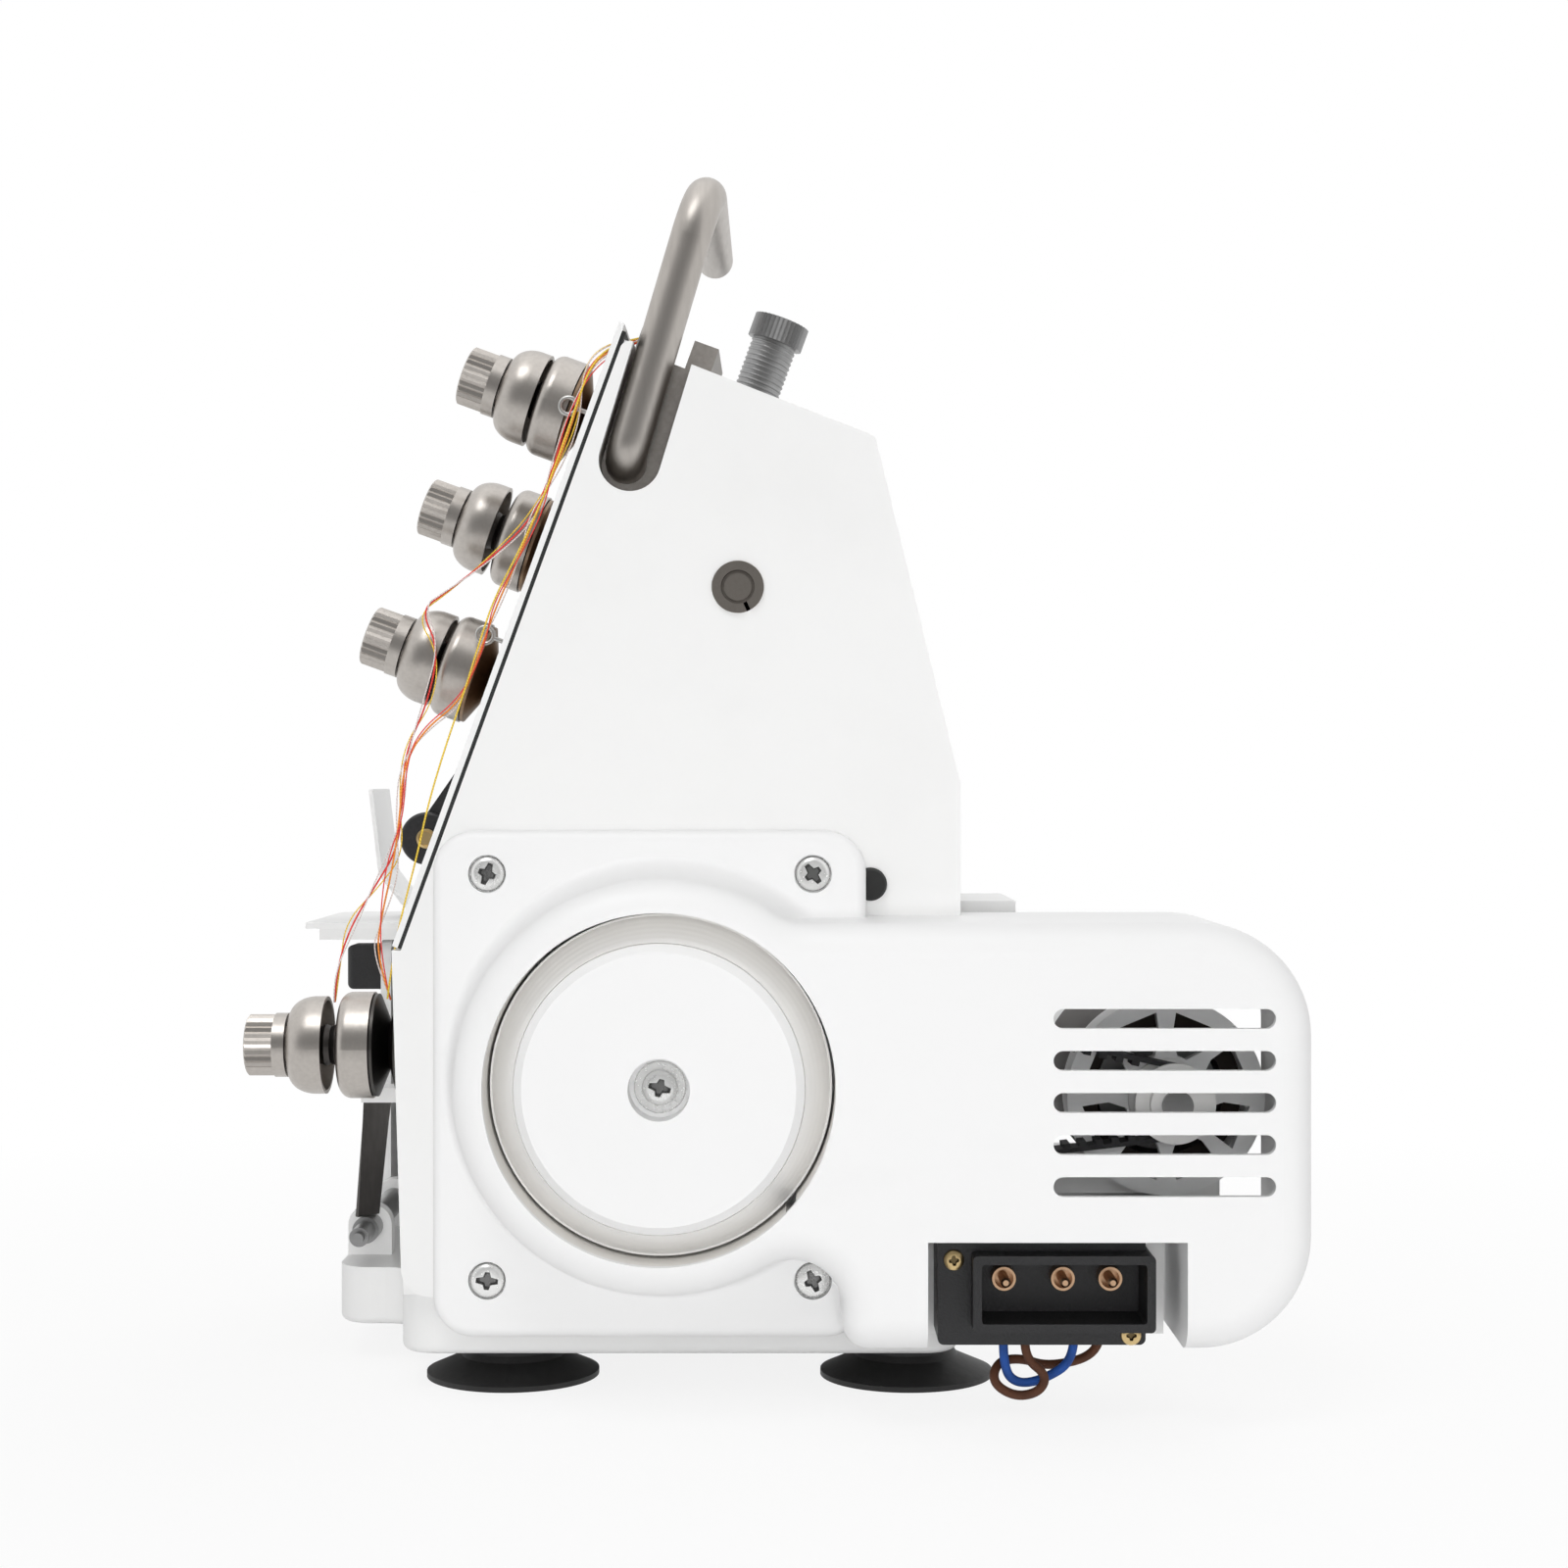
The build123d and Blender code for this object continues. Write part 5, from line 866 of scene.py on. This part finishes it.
class OVERLOCK_OT_handwheel(bpy.types.Operator):
    """Turn the handwheel with its sloped band, and set the wall of its well with the gap in it."""

    bl_idname = "overlock.handwheel"
    bl_label = "Handwheel"

    def execute(self, context):
        sizes = context.scene.overlock_sizes
        low, high = (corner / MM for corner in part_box("handwheel"))
        middle = (low + high) / 2
        place = on_axis((0, middle.y, middle.z), RIGHT)
        hub = 12.0
        wall = 3.0
        wall_step = 1.0
        bevel = 2.0
        groove = 0.3
        groove_foot = 0.05
        groove_depth = 0.9
        rim_edge = 0.5
        rim_rise = 0.1
        rim_offset = 4.7
        face = high.x
        edge = face - bevel
        rim = (high.y - low.y) / 2
        rim_back = low.x + rim_offset
        front = face - sizes.wheel_depth / MM
        disc = rim - sizes.wheel_band / MM
        recess = sizes.wheel_recess / MM
        recess_floor = face - sizes.wheel_sink / MM
        profile = [
            (0, low.x),
            (hub, low.x),
            (hub, face - wall),
            (disc - wall, face - wall),
            (rim - wall, front - wall_step),
            (rim - wall, rim_back),
            (rim, rim_back),
            (rim, front),
            (rim - rim_edge, front + rim_rise),
            (disc + groove, edge - groove),
            (disc + groove_foot, edge - groove_depth),
            (disc, edge),
            (disc - bevel, face),
            (recess, face),
            (recess, recess_floor),
            (0, recess_floor),
        ]
        mesh = turned_mesh("handwheel_moulding", profile, place, steps=160)
        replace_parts(link_piece("handwheel_moulding", mesh, "drive", "wheel"), "handwheel")
        opening = rim + sizes.wheel_gap / MM
        well_wall = 1.5
        well_offset = 2.7
        cover_wall = 2.5
        gap_end = -39.2
        sweep = 355.0
        radii = (opening, opening + well_wall)
        ends = (low.x + well_offset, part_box("belt_cover")[1].x / MM - cover_wall)
        mesh = round_wall_mesh("wheel_well", radii, ends, gap_end, sweep, place)
        # The wall of the well is painted darker for the shade it lies in.
        link_piece("wheel_well", mesh, "machine", "well")
        return {"FINISHED"}


class OVERLOCK_OT_screws(bpy.types.Operator):
    """Put recessed heads on the screws, and a washer under the handwheel's screw."""

    bl_idname = "overlock.screws"
    bl_label = "Screws"

    def execute(self, context):
        sizes = context.scene.overlock_sizes
        low, high = (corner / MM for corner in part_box("belt_cover_screws"))
        reach = sizes.cover_screw / MM
        cover_places = [
            (high.x - reach * HEAD_HEIGHT, y, z)
            for y in (low.y + reach, high.y - reach)
            for z in (low.z + reach, high.z - reach)
        ]
        heads = screw_set(
            "cover_screw_heads", "machine", "both", cover_places, RIGHT, sizes.cover_screw, "zinc"
        )
        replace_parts(heads, "belt_cover_screws")
        low, high = (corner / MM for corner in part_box("handwheel"))
        middle = (low + high) / 2
        thick = 1.0
        bevel = 0.3
        washer = sizes.wheel_washer / MM
        seat = (high.x - sizes.wheel_sink / MM + thick, middle.y, middle.z)
        profile = [(0, -thick), (washer, -thick), (washer, -bevel), (washer - bevel, 0), (0, 0)]
        mesh = turned_mesh("wheel_washer", profile, on_axis(seat, RIGHT))
        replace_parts(link_piece("wheel_washer", mesh, "drive", "zinc"), "handwheel_screw")
        screw_set("wheel_screw_head", "drive", "both", [seat], RIGHT, sizes.wheel_screw, "zinc")
        inlet_face = 90.0
        inlet_places = [(inlet_face, 48.3, 38.8), (inlet_face, 91.4, 20.6)]
        screw_set("inlet_screw_heads", "machine", "cross", inlet_places, RIGHT, sizes.inlet_screw, "brass")
        return {"FINISHED"}


class OVERLOCK_OT_pressure_thread(bpy.types.Operator):
    """Wind the thread on the pressure screw's stem."""

    bl_idname = "overlock.pressure_thread"
    bl_label = "Pressure screw thread"

    def execute(self, context):
        pitch = context.scene.overlock_sizes.thread_pitch
        turns = 12.0
        stem_radius = 6.55
        ridge_radius = 0.42
        thread_foot = beside_front(-62.0, -10.6, -28.5)
        values = {
            "Turns": turns,
            "Pitch": pitch,
            "Radius": stem_radius * MM,
            "Ridge": ridge_radius * MM,
            "Finish": FINISHES["steel"],
        }
        mesh = grown_mesh("pressure_screw_thread", helix_tree(), values)
        mesh.transform(on_axis(thread_foot, -SLANT_DOWN))
        link_piece("pressure_screw_thread", mesh, "pressure_knob", "steel")
        return {"FINISHED"}


class OVERLOCK_OT_small_pieces(bpy.types.Operator):
    """Add the rubber plug and the lifter's brass centre."""

    bl_idname = "overlock.small_pieces"
    bl_label = "Small pieces"

    def execute(self, context):
        plug = context.scene.overlock_sizes.plug / MM
        plate_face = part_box("right_side_plate")[1].x / MM
        plug_place = (plate_face, 28.8, 129.3)
        profile = [(0, 0), (plug, 0), (plug, 0.8), (plug - 0.6, 1.5), (plug * 0.4, 1.8), (0, 1.8)]
        mesh = turned_mesh("side_plug", profile, on_axis(plug_place, RIGHT))
        link_piece("side_plug", mesh, "machine", "rubber")
        lever_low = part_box("lifter_lever")[0] / MM
        knob_face = -45.0
        knob_radius = 7.8
        knob_place = (knob_face, lever_low.y + knob_radius, lever_low.z + knob_radius)
        profile = [(0, 0), (2.9, 0), (2.9, 0.5), (2.2, 0.7), (2.0, 0.2), (0, 0.2)]
        mesh = turned_mesh("lifter_centre", profile, on_axis(knob_place, RIGHT))
        link_piece("lifter_centre", mesh, "lifter", "brass")
        return {"FINISHED"}


# Each lamp's place and size in metres, its share of the power, and whether mirrors show it.
LAMPS = {
    "key_lamp": ((1.0, -0.45, 1.9), 0.8, 3.0, True),
    "fill_lamp": ((1.3, 1.3, 0.9), 1.6, 0.5, True),
    "top_lamp": ((-0.3, 0.0, 1.9), 1.6, 0.8, True),
    "front_lamp": ((1.5, 0.01, 0.18), 0.4, 2.25, False),
    "back_lamp": ((-1.5, 0.6, 0.9), 1.0, 3.0, False),
}


class OVERLOCK_OT_studio(bpy.types.Operator):
    """Set up the floor, the light and the camera."""

    bl_idname = "overlock.studio"
    bl_label = "Studio"

    def execute(self, context):
        scene = context.scene
        settings = scene.overlock_studio
        scene.view_settings.view_transform = "Standard"
        self.add_floor()
        self.add_world(scene)
        for name, (place, size, share, mirrored) in LAMPS.items():
            self.add_lamp(name, place, size, settings.lamp * share, mirrored)
        camera = bpy.data.cameras.new("camera")
        camera.lens = settings.lens
        camera.sensor_width = 36.0
        camera.clip_start = 0.01
        view = bpy.data.objects.new("camera", camera)
        view.location = (settings.distance, settings.side, settings.height)
        view.rotation_euler = (math.pi / 2, 0, math.pi / 2)
        scene.collection.objects.link(view)
        scene.camera = view
        return {"FINISHED"}

    @staticmethod
    def add_floor():
        """Pale floor that is white to the camera and keeps a soft shadow."""
        mesh = bpy.data.meshes.new("floor")
        reach = 6.0
        near_edge = 0.6
        corners = [(-reach, -reach, 0), (near_edge, -reach, 0), (near_edge, reach, 0), (-reach, reach, 0)]
        mesh.from_pydata(corners, [], [(0, 1, 2, 3)])
        finish = Finish("floor_paper")
        cloud = finish.noise(3.0)
        finish.set(Base_Color=finish.mix(cloud, (0.93, 0.93, 0.93), (0.91, 0.91, 0.91)), Roughness=0.9)
        seen = finish.node("ShaderNodeLightPath").outputs
        straight = Term(finish, seen["Is Camera Ray"])
        mirrored = Term(finish, seen["Is Glossy Ray"])
        through = Term(finish, seen["Is Transmission Ray"])
        glow = finish.node("ShaderNodeEmission", None, {"Color": (1, 1, 1, 1), "Strength": 1.0})
        x, y, _ = finish.axes()
        away = (x * x + y * y) ** 0.5
        share = finish.ramp(away, (0.15, 0.85), (0.5, 1.0))
        paper = finish.node(
            "ShaderNodeMixShader",
            None,
            {0: (straight + mirrored + through) * share, 1: finish.surface.outputs[0], 2: glow.outputs[0]},
        )
        output = finish.tree.nodes["Material Output"]
        finish.tree.links.new(paper.outputs[0], output.inputs["Surface"])
        mesh.materials.append(finish.material)
        floor = bpy.data.objects.new("floor", mesh)
        bpy.context.scene.collection.objects.link(floor)

    @staticmethod
    def add_world(scene):
        """Even light from a world that is white to the camera, and in mirrors too but for its right side."""
        world = bpy.data.worlds.new("studio_world")
        world.use_nodes = True
        tree = world.node_tree
        link = tree.links.new

        def joined(operation, first, second):
            """Math node on two sockets."""
            node = tree.nodes.new("ShaderNodeMath")
            node.operation = operation
            link(first, node.inputs[0])
            link(second, node.inputs[1])
            return node.outputs[0]

        def ranged(socket, least, most, low, high):
            """Value led softly from one range to another."""
            node = tree.nodes.new("ShaderNodeMapRange")
            node.interpolation_type = "SMOOTHSTEP"
            for label, value in zip(("From Min", "From Max", "To Min", "To Max"), (least, most, low, high)):
                node.inputs[label].default_value = value
            link(socket, node.inputs["Value"])
            return node.outputs[0]

        seen = tree.nodes.new("ShaderNodeLightPath").outputs
        mirrored = joined("MAXIMUM", seen["Is Glossy Ray"], seen["Is Transmission Ray"])
        way = tree.nodes.new("ShaderNodeSeparateXYZ")
        link(tree.nodes.new("ShaderNodeTexCoord").outputs["Generated"], way.inputs[0])
        right_side = ranged(way.outputs["X"], 0.35, 0.8, 1.0, 0.3)
        shown = joined("MULTIPLY", mirrored, right_side)
        even_light = 0.46
        strength = joined("ADD", shown, ranged(mirrored, 0.0, 1.0, even_light, 0.0))
        background = tree.nodes["Background"].inputs
        background["Color"].default_value = (1, 1, 1, 1)
        link(joined("MAXIMUM", seen["Is Camera Ray"], strength), background["Strength"])
        scene.world = world

    @staticmethod
    def add_lamp(name, place, size, power, mirrored):
        """Square soft lamp that looks at the machine's middle."""
        middle = Vector((0, 0, 0.15))
        lamp = bpy.data.lights.new(name, "AREA")
        lamp.size = size
        lamp.energy = power
        holder = bpy.data.objects.new(name, lamp)
        holder.location = place
        holder.rotation_euler = (middle - Vector(place)).to_track_quat("-Z", "Y").to_euler()
        holder.visible_glossy = mirrored
        bpy.context.scene.collection.objects.link(holder)


OPERATORS = (
    OVERLOCK_OT_finishes,
    OVERLOCK_OT_threads,
    OVERLOCK_OT_wires,
    OVERLOCK_OT_handwheel,
    OVERLOCK_OT_screws,
    OVERLOCK_OT_pressure_thread,
    OVERLOCK_OT_small_pieces,
    OVERLOCK_OT_studio,
)


class OVERLOCK_PT_panel(bpy.types.Panel):
    """Panel that lists the steps."""

    bl_idname = "OVERLOCK_PT_panel"
    bl_label = "Overlock Machine"
    bl_space_type = "VIEW_3D"
    bl_region_type = "UI"
    bl_category = "Overlock"

    def draw(self, context):
        for operator in OPERATORS:
            self.layout.operator(operator.bl_idname)


GROUPS = {
    "overlock_colours": MachineColours,
    "overlock_sizes": MachineSizes,
    "overlock_studio": StudioSettings,
}


def register():
    """Register the settings, the operators and the panel."""
    for name, group in GROUPS.items():
        bpy.utils.register_class(group)
        setattr(bpy.types.Scene, name, bpy.props.PointerProperty(type=group))
    for item in (*OPERATORS, OVERLOCK_PT_panel):
        bpy.utils.register_class(item)


def unregister():
    """Take everything out again."""
    for item in (OVERLOCK_PT_panel, *reversed(OPERATORS)):
        bpy.utils.unregister_class(item)
    for name, group in GROUPS.items():
        delattr(bpy.types.Scene, name)
        bpy.utils.unregister_class(group)


def main():
    """Dress the machine."""
    register()
    bpy.ops.overlock.finishes()
    bpy.ops.overlock.threads()
    bpy.ops.overlock.wires()
    bpy.ops.overlock.handwheel()
    bpy.ops.overlock.screws()
    bpy.ops.overlock.pressure_thread()
    bpy.ops.overlock.small_pieces()
    bpy.ops.overlock.studio()


if __name__ == "__main__":
    main()
